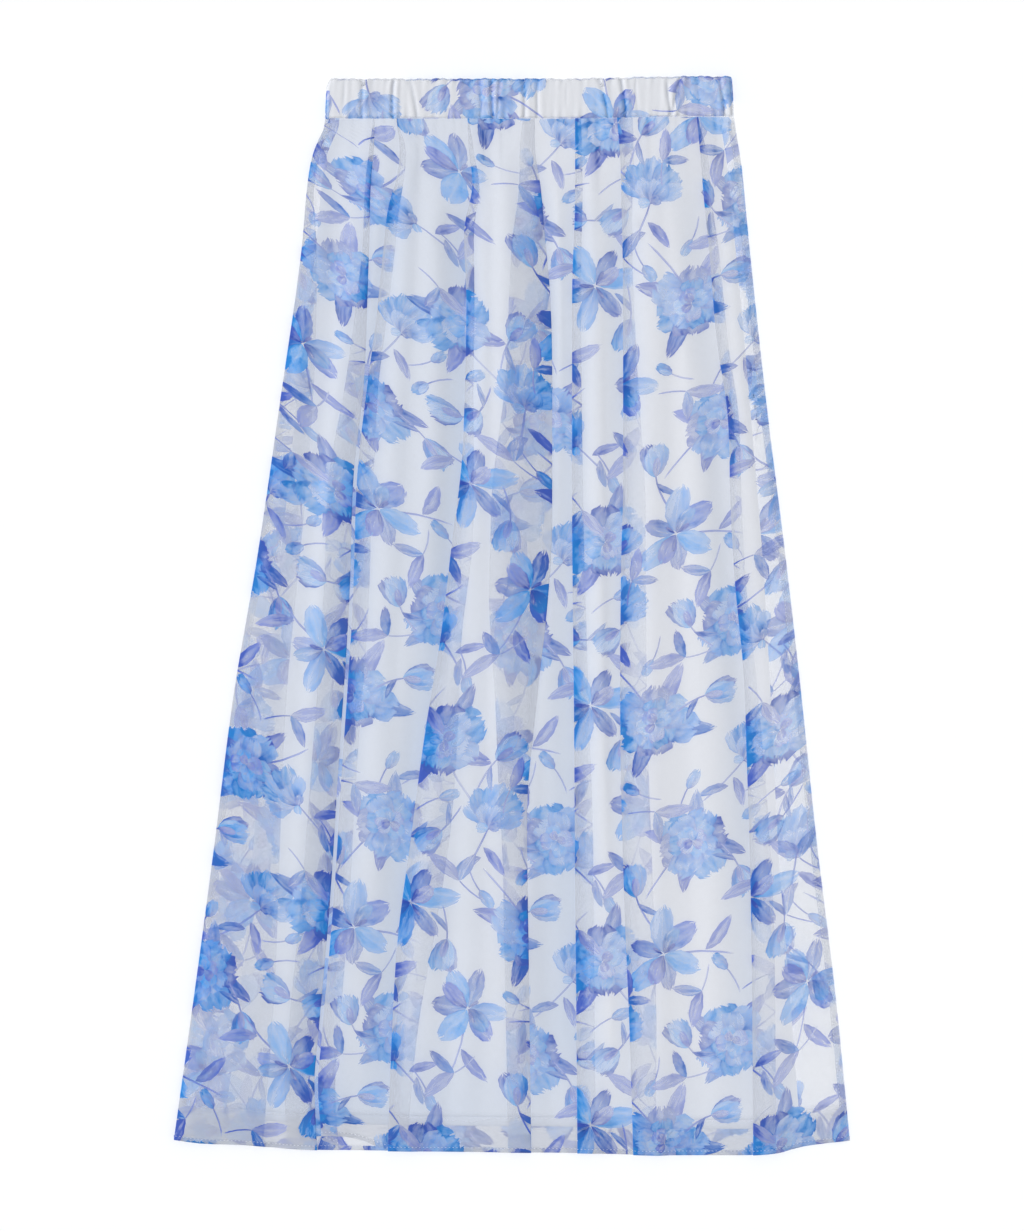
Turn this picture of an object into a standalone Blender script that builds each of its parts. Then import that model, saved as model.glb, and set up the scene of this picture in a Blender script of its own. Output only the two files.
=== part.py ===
"""A flared midi skirt of printed chiffon over a plain lining, with an elastic waistband, laid flat.

+Z is up, +X runs across the skirt, and +Y runs from its hem to its waist. The origin is on the
surface that the skirt lies on, under the middle of its outline. The tables and the functions
work in millimetres, and only the meshes are in metres. Distances down the skirt are measured
from the top edge of the waistband.

Each panel is a wall that follows a section across the skirt. A section is a row of runs that lie
flat, joined by folds: at a fold the cloth turns back under itself, and then turns on again.
"""

import math
from collections import namedtuple

import bmesh
import bpy

MM = 0.001
LENGTH = 900.0
BAND_HEIGHT = 34.0
SEAM_GAP = 0.3
SKIRT_TOP = BAND_HEIGHT + SEAM_GAP
FRONT_LINING_HEM = 870.0
BACK_LINING_HEM = 878.0

WALL = 1.0
PLY_GAP = 0.4
PLY = WALL + PLY_GAP
BACK_PUFF = 3.4
PINCH = 11.0
PUFF_START = 12.0
PUFF_WIDTH = 55.0

FOLD_RADIUS = 0.75
ARC_STEPS = 3
FULL_BEND = 100.0
LEAST_TURN = 4.0
LEAST_TUCK = 0.8
TUCK_TURN = 150.0
TUCK_STEPS = 2
RAMP = 14.0
CLEARANCE = 1.2
LEAST_COVER = 1.6

BAND_THICKNESS = 6.8
CASING = 2.6
BAND_CORNER = 2.5
PUCKER_WIDTH = 2.3
BAND_FILL = 8.0
END_STEPS = 4
TUCKED_LEFT = 1.2
TUCKED_RIGHT = 2.0
CORNER_DEPTH = 7.0
SCALLOP_DEPTH = 10.0
WAIST_DIP = 2.0
DIP_START = 40.0
DIP_WIDTH = 110.0
DIP_DEPTH = 160.0

BASE_DROP_START = 880.0
BASE_DROP = 20.0
HEM_RISE = 12.0
RISE_START = 850.0
RISE_DEPTH = 50.0
RISE_FALL = 1.1
INSET_AT_WAIST = 12.0
INSET_MORE = 28.0
INSET_START = 150.0
SHARP_ANGLE = 50.0

# How many columns the flat part of each run has, from left to right.
FRONT_STEPS = (4, 3, 3, 4, 3, 5, 3, 4, 7)
BACK_STEPS = (4, 4, 5, 4, 4)
CLOSE_STEPS = 4
OPEN_SHARES = (0.25, 0.55, 1.0)
# The lining's columns, measured in from each of its sides.
LINING_STOPS = (0, 9, 18, 28, 40, 56, 76, 110)

RIGHT = 1
LEFT = -1

Outline = namedtuple("Outline", "below left right")
OUTLINE = (
    Outline(34, -156.0, 185.5),
    Outline(42, -157.0, 186.5),
    Outline(52, -161.5, 188.0),
    Outline(64, -166.0, 190.0),
    Outline(78, -169.0, 192.0),
    Outline(98, -171.5, 194.0),
    Outline(145, -175.5, 198.5),
    Outline(270, -193.0, 212.0),
    Outline(408, -213.0, 229.0),
    Outline(520, -232.0, 241.5),
    Outline(646, -248.0, 254.5),
    Outline(771, -264.5, 269.5),
    Outline(900, -282.0, 282.0),
)

HemPoint = namedtuple("HemPoint", "x below")
HEM = (
    HemPoint(-282, 887),
    HemPoint(-260, 890),
    HemPoint(-227, 891),
    HemPoint(-177, 895),
    HemPoint(-127, 896),
    HemPoint(-60, 897),
    HemPoint(70, 898.5),
    HemPoint(124, 900),
    HemPoint(190, 900),
    HemPoint(222, 898),
    HemPoint(242, 893),
    HemPoint(282, 888),
)

# How far the middle of the skirt stands off its back panel, as a share of BACK_PUFF.
Puff = namedtuple("Puff", "below share")
PUFFS = (Puff(34, 1.0), Puff(76, 1.0), Puff(790, 1.0), Puff(880, 0.36), Puff(900, 0.3))

# A fold's free edge faces the skirt's left or right. Its stations run down the skirt: where that
# edge is, how far the cloth under it is tucked, and how far it turns, in degrees. At 180 the
# three layers lie on each other, and towards 0 the fold opens out into a soft step.
Station = namedtuple("Station", "below x lap turn")
Fold = namedtuple("Fold", "name faces stations")
FRONT_FOLDS = (
    Fold("inverted_left", RIGHT, (
        Station(34, -114.5, 1.5, 150),
        Station(60, -115.0, 2.0, 175),
        Station(90, -117.5, 2.5, 180),
        Station(145, -119.0, 3.5, 180),
        Station(190, -120.5, 7.0, 180),
        Station(260, -123.5, 13.5, 180),
        Station(330, -131.5, 18.0, 180),
        Station(440, -135.5, 19.5, 180),
        Station(595, -145.5, 20.5, 180),
        Station(690, -151.5, 22.0, 180),
        Station(811, -162.0, 23.0, 180),
        Station(842, -164.5, 23.0, 180),
        Station(900, -162.5, 23.0, 180),
    )),
    Fold("inverted_right", LEFT, (
        Station(34, -97.0, 1.5, 150),
        Station(60, -93.5, 3.0, 175),
        Station(85, -96.0, 4.0, 180),
        Station(110, -103.0, 7.0, 180),
        Station(145, -107.0, 7.5, 180),
        Station(203, -113.0, 6.5, 180),
        Station(260, -120.5, 7.0, 180),
        Station(330, -128.5, 11.0, 180),
        Station(440, -132.5, 11.0, 180),
        Station(595, -142.5, 10.0, 180),
        Station(690, -148.5, 11.0, 180),
        Station(811, -159.0, 12.0, 180),
        Station(842, -161.5, 12.0, 180),
        Station(900, -159.0, 12.0, 180),
    )),
    Fold("left_knife", LEFT, (
        Station(34, -37.0, 2.0, 150),
        Station(60, -36.0, 2.0, 175),
        Station(90, -33.0, 3.5, 180),
        Station(132, -40.0, 6.0, 180),
        Station(190, -38.0, 4.5, 180),
        Station(270, -39.5, 5.0, 180),
        Station(325, -42.0, 8.0, 180),
        Station(390, -50.0, 15.0, 180),
        Station(470, -59.5, 15.5, 180),
        Station(550, -72.5, 25.0, 180),
        Station(640, -84.5, 30.0, 180),
        Station(720, -95.0, 28.0, 180),
        Station(790, -99.5, 20.0, 180),
        Station(900, -103.5, 13.0, 180),
    )),
    Fold("middle_knife", RIGHT, (
        Station(34, 19.0, 8.0, 180),
        Station(64, 19.5, 11.0, 180),
        Station(94, 24.0, 16.0, 180),
        Station(136, 27.5, 25.0, 180),
        Station(178, 31.5, 31.5, 180),
        Station(257, 33.5, 37.0, 180),
        Station(370, 33.5, 49.0, 180),
        Station(437, 30.0, 47.0, 180),
        Station(520, 21.0, 33.0, 180),
        Station(620, 12.5, 20.0, 180),
        Station(740, 14.0, 18.0, 180),
        Station(900, 16.0, 17.0, 180),
    )),
    Fold("long_crease", LEFT, (
        Station(34, 52.5, 4.0, 170),
        Station(100, 52.5, 4.0, 180),
        Station(186, 50.0, 5.0, 180),
        Station(350, 50.0, 7.0, 180),
        Station(520, 51.5, 10.0, 180),
        Station(654, 52.5, 13.0, 180),
        Station(900, 54.5, 13.0, 180),
    )),
    Fold("waist_tuck", LEFT, (
        Station(34, 87.5, 11.0, 180),
        Station(68, 90.0, 9.0, 180),
        Station(103, 91.0, 7.0, 180),
        Station(145, 92.0, 6.0, 180),
        Station(234, 92.5, 9.0, 180),
        Station(345, 92.5, 16.0, 180),
        Station(400, 91.0, 18.0, 180),
        Station(520, 90.0, 20.0, 180),
        Station(690, 93.5, 22.0, 180),
        Station(800, 98.0, 20.0, 180),
        Station(900, 101.0, 16.0, 180),
    )),
    Fold("right_knife", LEFT, (
        Station(34, 154.0, 4.0, 150),
        Station(68, 157.0, 4.5, 175),
        Station(100, 159.5, 4.5, 180),
        Station(149, 164.5, 6.0, 180),
        Station(220, 170.5, 7.0, 180),
        Station(282, 179.5, 7.0, 180),
        Station(357, 182.0, 7.0, 180),
        Station(420, 185.5, 7.0, 180),
        Station(500, 193.0, 8.0, 180),
        Station(570, 195.5, 12.0, 180),
        Station(646, 198.0, 15.0, 180),
        Station(730, 199.5, 17.0, 180),
        Station(900, 201.0, 17.0, 180),
    )),
)
# The cloth of the front also goes round the left side and back under it, this far.
SideWrap = namedtuple("SideWrap", "below lap")
SIDE_WRAP = (
    SideWrap(34, 2),
    SideWrap(110, 5),
    SideWrap(200, 20),
    SideWrap(270, 25),
    SideWrap(355, 30),
    SideWrap(520, 42),
    SideWrap(630, 51),
    SideWrap(790, 66),
    SideWrap(900, 72),
)

BACK_FOLDS = (
    Fold("back_left", RIGHT, (
        Station(34, -98.0, 1.0, 60),
        Station(76, -99.0, 1.5, 180),
        Station(160, -104.0, 7.0, 180),
        Station(300, -116.0, 10.0, 180),
        Station(600, -145.0, 16.0, 180),
        Station(700, -154.0, 12.0, 180),
        Station(790, -161.0, 1.0, 150),
        Station(868, -166.0, 1.0, 20),
        Station(900, -168.0, 1.0, 4),
    )),
    Fold("back_middle_left", LEFT, (
        Station(34, -48.0, 1.0, 60),
        Station(76, -47.0, 1.5, 180),
        Station(160, -48.0, 8.0, 180),
        Station(300, -52.0, 11.0, 180),
        Station(600, -70.0, 18.0, 180),
        Station(700, -78.0, 13.0, 180),
        Station(790, -83.0, 1.0, 150),
        Station(868, -86.0, 1.0, 20),
        Station(900, -88.0, 1.0, 4),
    )),
    Fold("back_middle_right", RIGHT, (
        Station(34, 44.0, 1.0, 60),
        Station(76, 45.0, 1.5, 180),
        Station(160, 48.0, 6.0, 180),
        Station(300, 52.0, 9.0, 180),
        Station(600, 66.0, 14.0, 180),
        Station(700, 71.0, 10.0, 180),
        Station(790, 75.0, 1.0, 150),
        Station(868, 78.0, 1.0, 20),
        Station(900, 80.0, 1.0, 4),
    )),
    Fold("back_right", LEFT, (
        Station(34, 118.0, 1.0, 60),
        Station(76, 120.0, 1.5, 180),
        Station(160, 126.0, 8.0, 180),
        Station(300, 136.0, 12.0, 180),
        Station(600, 162.0, 17.0, 180),
        Station(700, 170.0, 12.0, 180),
        Station(790, 177.0, 1.0, 150),
        Station(868, 183.0, 1.0, 20),
        Station(900, 186.0, 1.0, 4),
    )),
)

# Gathers along the waist seam: soft ridges that die out down the skirt.
Gather = namedtuple("Gather", "x height width reach")
FRONT_GATHERS = (
    Gather(-149, 0.9, 9, 30),
    Gather(-137, 1.0, 10, 24),
    Gather(-126, 1.2, 9, 40),
    Gather(-105, 0.9, 8, 30),
    Gather(-85, 1.0, 9, 45),
    Gather(-77, 0.7, 8, 22),
    Gather(-66, 1.0, 10, 30),
    Gather(-54, 0.8, 9, 36),
    Gather(-25, 0.9, 9, 28),
    Gather(-13, 1.1, 9, 40),
    Gather(-3, 0.8, 8, 22),
    Gather(37, 0.8, 9, 26),
    Gather(44, 0.9, 8, 34),
    Gather(68, 1.1, 10, 36),
    Gather(78, 0.9, 8, 24),
    Gather(108, 0.8, 9, 26),
    Gather(120, 1.1, 10, 44),
    Gather(131, 1.0, 9, 34),
    Gather(142, 0.8, 9, 24),
    Gather(168, 1.0, 9, 32),
    Gather(177, 0.8, 8, 24),
)
BACK_GATHERS = (
    Gather(-133, 0.3, 11, 26),
    Gather(-82, 0.8, 11, 38),
    Gather(-68, 0.9, 11, 24),
    Gather(-28, 0.9, 11, 34),
    Gather(-13, 0.7, 10, 24),
    Gather(4, 0.9, 12, 40),
    Gather(20, 0.8, 10, 28),
    Gather(66, 0.9, 12, 40),
    Gather(82, 0.7, 10, 24),
    Gather(98, 0.8, 11, 32),
    Gather(146, 0.5, 12, 26),
)

# Ridges that the elastic draws across the band: their x at its top and at its foot.
Pucker = namedtuple("Pucker", "top foot depth")
FRONT_PUCKERS = (
    Pucker(-139, -142, 0.5),
    Pucker(-125, -125, 0.7),
    Pucker(-98, -99.5, 1.2),
    Pucker(-79, -80, 0.7),
    Pucker(-54, -56, 0.5),
    Pucker(-25, -27, 0.8),
    Pucker(-16.5, -15.5, 1.2),
    Pucker(-8, -7, 0.5),
    Pucker(11, 11, 0.9),
    Pucker(22, 20, 0.9),
    Pucker(45, 46, 0.4),
    Pucker(75, 79, 0.8),
    Pucker(93, 94, 1.2),
    Pucker(105, 105, 0.6),
    Pucker(129, 132, 0.9),
    Pucker(141, 138, 1.2),
    Pucker(155, 156, 0.5),
    Pucker(171, 173, 0.9),
)
BACK_PUCKERS = (
    Pucker(-132, -130, 0.8),
    Pucker(-104, -106, 1.0),
    Pucker(-76, -75, 0.7),
    Pucker(-43, -45, 1.1),
    Pucker(-12, -12, 0.8),
    Pucker(24, 22, 1.0),
    Pucker(61, 63, 0.9),
    Pucker(97, 96, 0.7),
    Pucker(128, 130, 1.1),
    Pucker(158, 157, 0.8),
)
# How far each row of the band's outer face is drawn in, to round its edges.
BandRow = namedtuple("BandRow", "below inset")
BAND_ROWS = (
    BandRow(0, 0.9),
    BandRow(1.3, 0.2),
    BandRow(17, 0),
    BandRow(32.7, 0.2),
    BandRow(34, 0.8),
)

# Waves along the band's top edge, one on the other.
Scallop = namedtuple("Scallop", "height spread start")
SCALLOPS = (Scallop(0.3, 2.9, 0.0), Scallop(0.2, 6.7, 1.1))

# The rows across the panels. The first ones are close enough together to hold the gathers.
GATHERED_ROWS = (SKIRT_TOP, 44.0, 57.0, 76.0)
LOOSE_ROWS = (108.0, 160.0, 235.0, 340.0, 455.0, 575.0, 690.0, 790.0, 880.0, LENGTH)

COLOURS = {
    "waistband": (0.66, 0.73, 0.88),
    "skirt_front": (0.62, 0.70, 0.87),
    "skirt_back": (0.58, 0.67, 0.86),
    "lining_front": (0.88, 0.88, 0.87),
    "lining_back": (0.84, 0.84, 0.84),
}


def smooth(t):
    t = min(1.0, max(0.0, t))
    return t * t * (3 - 2 * t)


def read(table, key, value, column):
    """A column of a table at a value of its key, on a smooth curve through the rows."""
    keys = [getattr(row, key) for row in table]
    values = [getattr(row, column) for row in table]
    if value <= keys[0]:
        return values[0]
    if value >= keys[-1]:
        return values[-1]
    i = max(n for n in range(len(keys) - 1) if keys[n] <= value)
    slopes = [
        (values[n + 1] - values[n]) / (keys[n + 1] - keys[n]) for n in range(len(keys) - 1)
    ]
    before = slopes[i - 1] if i > 0 else slopes[i]
    after = slopes[i + 1] if i + 1 < len(slopes) else slopes[i]
    step = keys[i + 1] - keys[i]
    start = (before + slopes[i]) / 2 if before * slopes[i] > 0 else 0.0
    end = (after + slopes[i]) / 2 if after * slopes[i] > 0 else 0.0
    t = (value - keys[i]) / step
    return (
        values[i] * (1 + 2 * t) * (1 - t) ** 2
        + values[i + 1] * t * t * (3 - 2 * t)
        + step * (start * t * (1 - t) ** 2 - end * t * t * (1 - t))
    )


def side(below, column):
    return read(OUTLINE, "below", below, column)


def from_side(x, below):
    return min(x - side(below, "left"), side(below, "right") - x)


def puff(x, below):
    """How far the lining and the front are held off the back panel by its folds."""
    across = smooth((from_side(x, below) - PUFF_START) / PUFF_WIDTH)
    return BACK_PUFF * read(PUFFS, "below", below, "share") * across


def gathered(gathers, x, below):
    """The height of the gathers at x, each a ridge that widens as it dies out."""
    height = 0.0
    for gather in gathers:
        fade = 1 - (below - SKIRT_TOP) / gather.reach
        off = abs(x - gather.x) / gather.width
        if fade > 0 and off < 1:
            height += gather.height * smooth(fade) * (0.5 + 0.5 * math.cos(math.pi * off))
    return height


def front_base(x, below):
    """The height of the front's middle line where it lies unfolded."""
    lining = smooth(from_side(x, below) / PINCH)
    lining *= 1 - smooth((below - BASE_DROP_START) / BASE_DROP)
    edge = WALL + SEAM_GAP + WALL / 2
    return edge + (3 * PLY + WALL / 2 - edge + PLY_GAP / 2) * lining + puff(x, below)


def even(count):
    return [i / count for i in range(count + 1)]


def crowded(length, near):
    """Fractions of a length, with the first steps short, within a distance of its start."""
    close = [near * i / CLOSE_STEPS for i in range(CLOSE_STEPS + 1)]
    open_steps = [near + (length - near) * share for share in OPEN_SHARES]
    return [along / length for along in close + open_steps]


def halved(fractions):
    """The same fractions with one more in the middle of each step."""
    doubled = []
    for a, b in zip(fractions, fractions[1:]):
        doubled += [a, (a + b) / 2]
    return doubled + [fractions[-1]]


def fold_profile(turn, lap, near):
    """The middle line of a fold, from its upper layer to its lower one, as (x, height) from the
    point where the cloth starts to turn down. near is given for the wrapped side alone, where
    the cloth under the fold bends near its edge."""
    angle = math.radians(max(turn, LEAST_TURN))
    radius = FOLD_RADIUS * max(1.0, math.radians(FULL_BEND) / angle)
    tuck = tuck_length(turn, lap)
    points = []
    for i in range(ARC_STEPS + 1):
        t = angle * i / ARC_STEPS
        points.append((radius * math.sin(t), -radius * (1 - math.cos(t))))
    x, height = points[-1]
    along = crowded(tuck, near) if near else even(TUCK_STEPS)
    for share in along[1:-1]:
        points.append((
            x + share * tuck * math.cos(angle),
            height - share * tuck * math.sin(angle),
        ))
    x += tuck * math.cos(angle)
    height -= tuck * math.sin(angle)
    for i in range(ARC_STEPS + 1):
        t = angle * i / ARC_STEPS
        points.append((
            x + radius * (math.sin(angle) - math.sin(angle - t)),
            height - radius * (math.cos(angle - t) - math.cos(angle)),
        ))
    return points


def tuck_length(turn, lap):
    return LEAST_TUCK + lap * smooth((turn - TUCK_TURN) / (180 - TUCK_TURN))


def place_fold(fold, below, outside, near):
    """The fold's points from left to right, and the level and cover of the runs beside it.

    outside is 1 where the layers pile up over the panel, as on the front, and -1 where they
    pile up behind it, as on the back. A cover is the length of a run that has to stay at its
    level, because the fold's other layers are under it."""
    lap = read(fold.stations, "below", below, "lap")
    turn = read(fold.stations, "below", below, "turn")
    profile = fold_profile(turn, lap, near)
    reach = max(x for x, _ in profile[: ARC_STEPS + 1])
    edge = read(fold.stations, "below", below, "x")
    drop = -profile[-1][1]
    lift = drop if outside > 0 else 0.0
    start = edge - fold.faces * reach
    points = [(start + fold.faces * x, height + lift) for x, height in profile]
    behind = max(LEAST_COVER, CLEARANCE - min(x for x, _ in profile))
    ahead = max(LEAST_COVER, CLEARANCE + reach - profile[-1][0])
    upper = (lift, behind if outside > 0 else 0.0)
    lower = (lift - drop, ahead if outside < 0 else 0.0)
    if fold.faces == RIGHT:
        return points, upper, lower
    return points[::-1], lower, upper


def run_stretches(x0, x1, first, last, flat_steps):
    """A run as stretches of ((x, height), (x, height), fractions): it stays at its level over a
    fold's layers, goes down a ramp, and lies flat between its ramps."""
    (level0, cover0), (level1, cover1) = first, last
    room = x1 - x0 - cover0 - cover1
    ramps = (cover0 > 0) + (cover1 > 0)
    ramp = min(RAMP, 0.42 * room * (2 if ramps == 1 else 1))
    highest = max(level0, level1, key=abs)
    flat = highest * (1 - ramp / RAMP) if ramps == 2 else 0.0
    knots = [(x0, level0)]
    steps = []
    if cover0 > 0:
        knots += [(x0 + cover0, level0), (x0 + cover0 + ramp, flat)]
        steps += [1, 2]
    steps.append(flat_steps)
    if cover1 > 0:
        knots += [(x1 - cover1 - ramp, flat), (x1 - cover1, level1)]
        steps += [2, 1]
    knots.append((x1, level1))
    return [[a, b, even(count)] for a, b, count in zip(knots, knots[1:], steps)]


def stretch_points(stretches, finer):
    """Points along the stretches, each an easy curve from one height to the next."""
    points = []
    for (x0, h0), (x1, h1), fractions in stretches:
        for t in (halved(fractions) if finer else fractions)[:-1]:
            points.append((x0 + (x1 - x0) * t, h0 + (h1 - h0) * smooth(t)))
    return points + [stretches[-1][1]]


def shares(points):
    """Where each point is along its run or fold, so that rows with more and fewer points meet."""
    lengths = [0.0]
    for (x0, h0), (x1, h1) in zip(points, points[1:]):
        lengths.append(lengths[-1] + math.hypot(x1 - x0, h1 - h0))
    return [length / lengths[-1] for length in lengths]


def crowd_sides(stretches, run, last_run, near):
    """Closer columns where the wrapped side's layers, and the far end, bend to the seam."""
    (x0, _), (x1, _), _ = stretches[0]
    if run < 2:
        stretches[0][2] = crowded(x1 - x0, near)
    if run == last_run:
        (x0, _), (x1, _), _ = stretches[-1]
        stretches[-1][2] = [1 - t for t in reversed(crowded(x1 - x0, PINCH))]


def section(folds, below, outside, ends, flat_steps, finer, near=None):
    """One row's middle line as (x, height over the unfolded cloth, place), where place counts
    the runs and the folds from left to right, with fractions along each."""
    line = []
    level = (0.0, 0.0)
    x = ends[0]
    for i in range(len(folds) + 1):
        if i < len(folds):
            bend, before, after = place_fold(folds[i], below, outside, near if i == 0 else None)
        else:
            bend, before, after = [(ends[1], 0.0)], (0.0, 0.0), None
        stretches = run_stretches(x, bend[0][0], level, before, flat_steps[i])
        if near:
            crowd_sides(stretches, i, len(folds), near)
        run = stretch_points(stretches, finer)
        line += [(px, h, 2 * i + share) for (px, h), share in zip(run, shares(run))][:-1]
        if after:
            line += [(px, h, 2 * i + 1 + share) for (px, h), share in zip(bend, shares(bend))][:-1]
        x, level = bend[-1][0], after
    line.append((ends[1], 0.0, 2.0 * len(folds) + 1))
    return line


def wrapped_folds():
    """The front's folds, with the one that its left side makes where it wraps round."""
    stations = tuple(
        Station(row.below, side(row.below, "left"), read(SIDE_WRAP, "below", row.below, "lap"), 180)
        for row in OUTLINE
    )
    return (Fold("side_wrap", LEFT, stations),) + FRONT_FOLDS


def front_line(below, finer):
    ends = (side(below, "left") + WALL, side(below, "right"))
    near = min(PINCH, 0.6 * tuck_length(180, read(SIDE_WRAP, "below", below, "lap")))
    line = section(wrapped_folds(), below, 1, ends, FRONT_STEPS, finer, near)
    return [
        (x, front_base(x, below) + gathered(FRONT_GATHERS, x, below) + height, place)
        for x, height, place in line
    ]


def back_line(below, finer):
    ends = (side(below, "left"), side(below, "right"))
    line = section(BACK_FOLDS, below, -1, ends, BACK_STEPS, finer)
    return [
        (x, WALL / 2 + gathered(BACK_GATHERS, x, below) - height, place)
        for x, height, place in line
    ]


def offset(line, distance):
    """The line moved sideways by a distance, square to it, with mitred corners."""
    moved = []
    for i, (x, z, _) in enumerate(line):
        before = line[max(0, i - 1)]
        after = line[min(len(line) - 1, i + 1)]
        back = math.atan2(z - before[1], x - before[0]) if i > 0 else None
        ahead = math.atan2(after[1] - z, after[0] - x) if i < len(line) - 1 else None
        back = ahead if back is None else back
        ahead = back if ahead is None else ahead
        bend = (ahead - back + math.pi) % (2 * math.pi) - math.pi
        heading = back + bend / 2
        length = distance / max(0.5, math.cos(bend / 2))
        moved.append((x - length * math.sin(heading), z + length * math.cos(heading)))
    return moved


def hem_below(x, below):
    """How far down a point of a row is, with the rows spread between the seam and the hem."""
    share = (below - SKIRT_TOP) / (LENGTH - SKIRT_TOP)
    return SKIRT_TOP + share * (read(HEM, "x", x, "below") - SKIRT_TOP) + waist_dip(x, below)


def waist_dip(x, below):
    """The waist lies a little lower on the left and in the middle than on the right."""
    return WAIST_DIP * (1 - smooth((x - DIP_START) / DIP_WIDTH)) * (1 - smooth(below / DIP_DEPTH))


def hem_rise(line, below):
    """At the deep fold on the left the front's hem lies higher than the cloth behind it."""
    rise = HEM_RISE * smooth((below - RISE_START) / RISE_DEPTH)
    stretch = 2 * (1 + [fold.name for fold in FRONT_FOLDS].index("inverted_right")) + 1
    rises = []
    for _, _, place in line:
        if stretch < place <= stretch + 1:
            rises.append(rise * smooth(place - stretch))
        elif stretch + 1 < place < stretch + 2:
            rises.append(rise * (1 - smooth(RISE_FALL * (place - stretch - 1))))
        else:
            rises.append(0.0)
    return rises


def bridge(bm, upper, lower, upper_places, lower_places):
    """Triangles between two rows of vertices that may differ in number."""
    i = j = 0
    while i < len(upper) - 1 or j < len(lower) - 1:
        step_upper = j == len(lower) - 1 or (
            i < len(upper) - 1
            and upper_places[i + 1] + upper_places[i] <= lower_places[j + 1] + lower_places[j]
        )
        if step_upper:
            bm.faces.new((upper[i], lower[j], upper[i + 1]))
            i += 1
        else:
            bm.faces.new((upper[i], lower[j], lower[j + 1]))
            j += 1


def add_object(name, bm):
    bmesh.ops.recalc_face_normals(bm, faces=bm.faces)
    mesh = bpy.data.meshes.new(name)
    bm.to_mesh(mesh)
    bm.free()
    mesh.shade_smooth()
    mesh.set_sharp_from_angle(angle=math.radians(SHARP_ANGLE))
    piece = bpy.data.objects.new(name, mesh)
    bpy.context.scene.collection.objects.link(piece)
    material = bpy.data.materials.new(name)
    material.use_nodes = True
    shader = material.node_tree.nodes["Principled BSDF"]
    shader.inputs["Base Color"].default_value = (*COLOURS[name], 1)
    shader.inputs["Roughness"].default_value = 0.85
    shader.inputs["Metallic"].default_value = 0.0
    mesh.materials.append(material)
    return piece


def point(bm, x, below, z):
    return bm.verts.new((x * MM, (LENGTH / 2 - below) * MM, z * MM))


def build_panel(name, rows):
    """A wall from rows of (below, middle line, how far each point's hem is raised)."""
    bm = bmesh.new()
    faces = []
    for below, line, rises in rows:
        places = [place for _, _, place in line]
        sheets = []
        for distance in (WALL / 2, -WALL / 2):
            moved = offset(line, distance)
            sheets.append([
                point(bm, x, hem_below(line[i][0], below) - rises[i], z)
                for i, (x, z) in enumerate(moved)
            ])
        faces.append((sheets, places))
    for (upper, upper_places), (lower, lower_places) in zip(faces, faces[1:]):
        bridge(bm, upper[0], lower[0], upper_places, lower_places)
        bridge(bm, lower[1], upper[1], lower_places, upper_places)
        for end in (0, -1):
            quad = (upper[0][end], upper[1][end], lower[1][end], lower[0][end])
            bm.faces.new(quad if end == 0 else quad[::-1])
    for sheets, places in (faces[0], faces[-1]):
        bridge(bm, sheets[0], sheets[1], places, places)
    return add_object(name, bm)


def build_skirt_front():
    rows = []
    for finer, belows in ((True, GATHERED_ROWS), (False, LOOSE_ROWS)):
        for below in belows:
            line = front_line(below, finer)
            rows.append((below, line, hem_rise(line, below)))
    return build_panel("skirt_front", rows)


def build_skirt_back():
    rows = []
    for finer, belows in ((True, GATHERED_ROWS), (False, LOOSE_ROWS)):
        for below in belows:
            line = back_line(below, finer)
            rows.append((below, line, [0.0] * len(line)))
    return build_panel("skirt_back", rows)


def lining_inset(below):
    """The lining flares less than the skirt, so its sides lie further in towards its hem."""
    return INSET_AT_WAIST + INSET_MORE * smooth((below - INSET_START) / (LENGTH - INSET_START))


def build_lining(name, hem, ply):
    rows = []
    for below in GATHERED_ROWS + LOOSE_ROWS[:-2] + (hem,):
        left = side(below, "left") + lining_inset(below)
        right = side(below, "right") - lining_inset(below)
        offsets = list(LINING_STOPS) + [right - left - stop for stop in reversed(LINING_STOPS)]
        line = []
        for i, distance in enumerate(offsets):
            x = left + distance
            line.append((x, ply * PLY + WALL / 2 + puff(x, below), float(i)))
        rows.append((below, line, [0.0] * len(line)))
    return build_panel(name, rows)


def pucker_columns(puckers, below, left, right):
    """The band's columns on one side as (x, depth): three at each pucker, and even ones between."""
    share = below / BAND_HEIGHT
    columns = [(left, 0.0)]
    for i, pucker in enumerate(puckers):
        x = pucker.top + (pucker.foot - pucker.top) * share
        last = puckers[i - 1].top + PUCKER_WIDTH if i else side(0, "left")
        count = max(1, round((pucker.top - PUCKER_WIDTH - last) / BAND_FILL))
        start = columns[-1][0]
        end = x - PUCKER_WIDTH
        columns += [(start + (end - start) * n / count, 0.0) for n in range(1, count)]
        columns += [(end, 0.0), (x, pucker.depth), (x + PUCKER_WIDTH, 0.0)]
    start = columns[-1][0]
    count = max(1, round((side(0, "right") - puckers[-1].top - PUCKER_WIDTH) / BAND_FILL))
    columns += [(start + (right - start) * n / count, 0.0) for n in range(1, count + 1)]
    return columns


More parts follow.
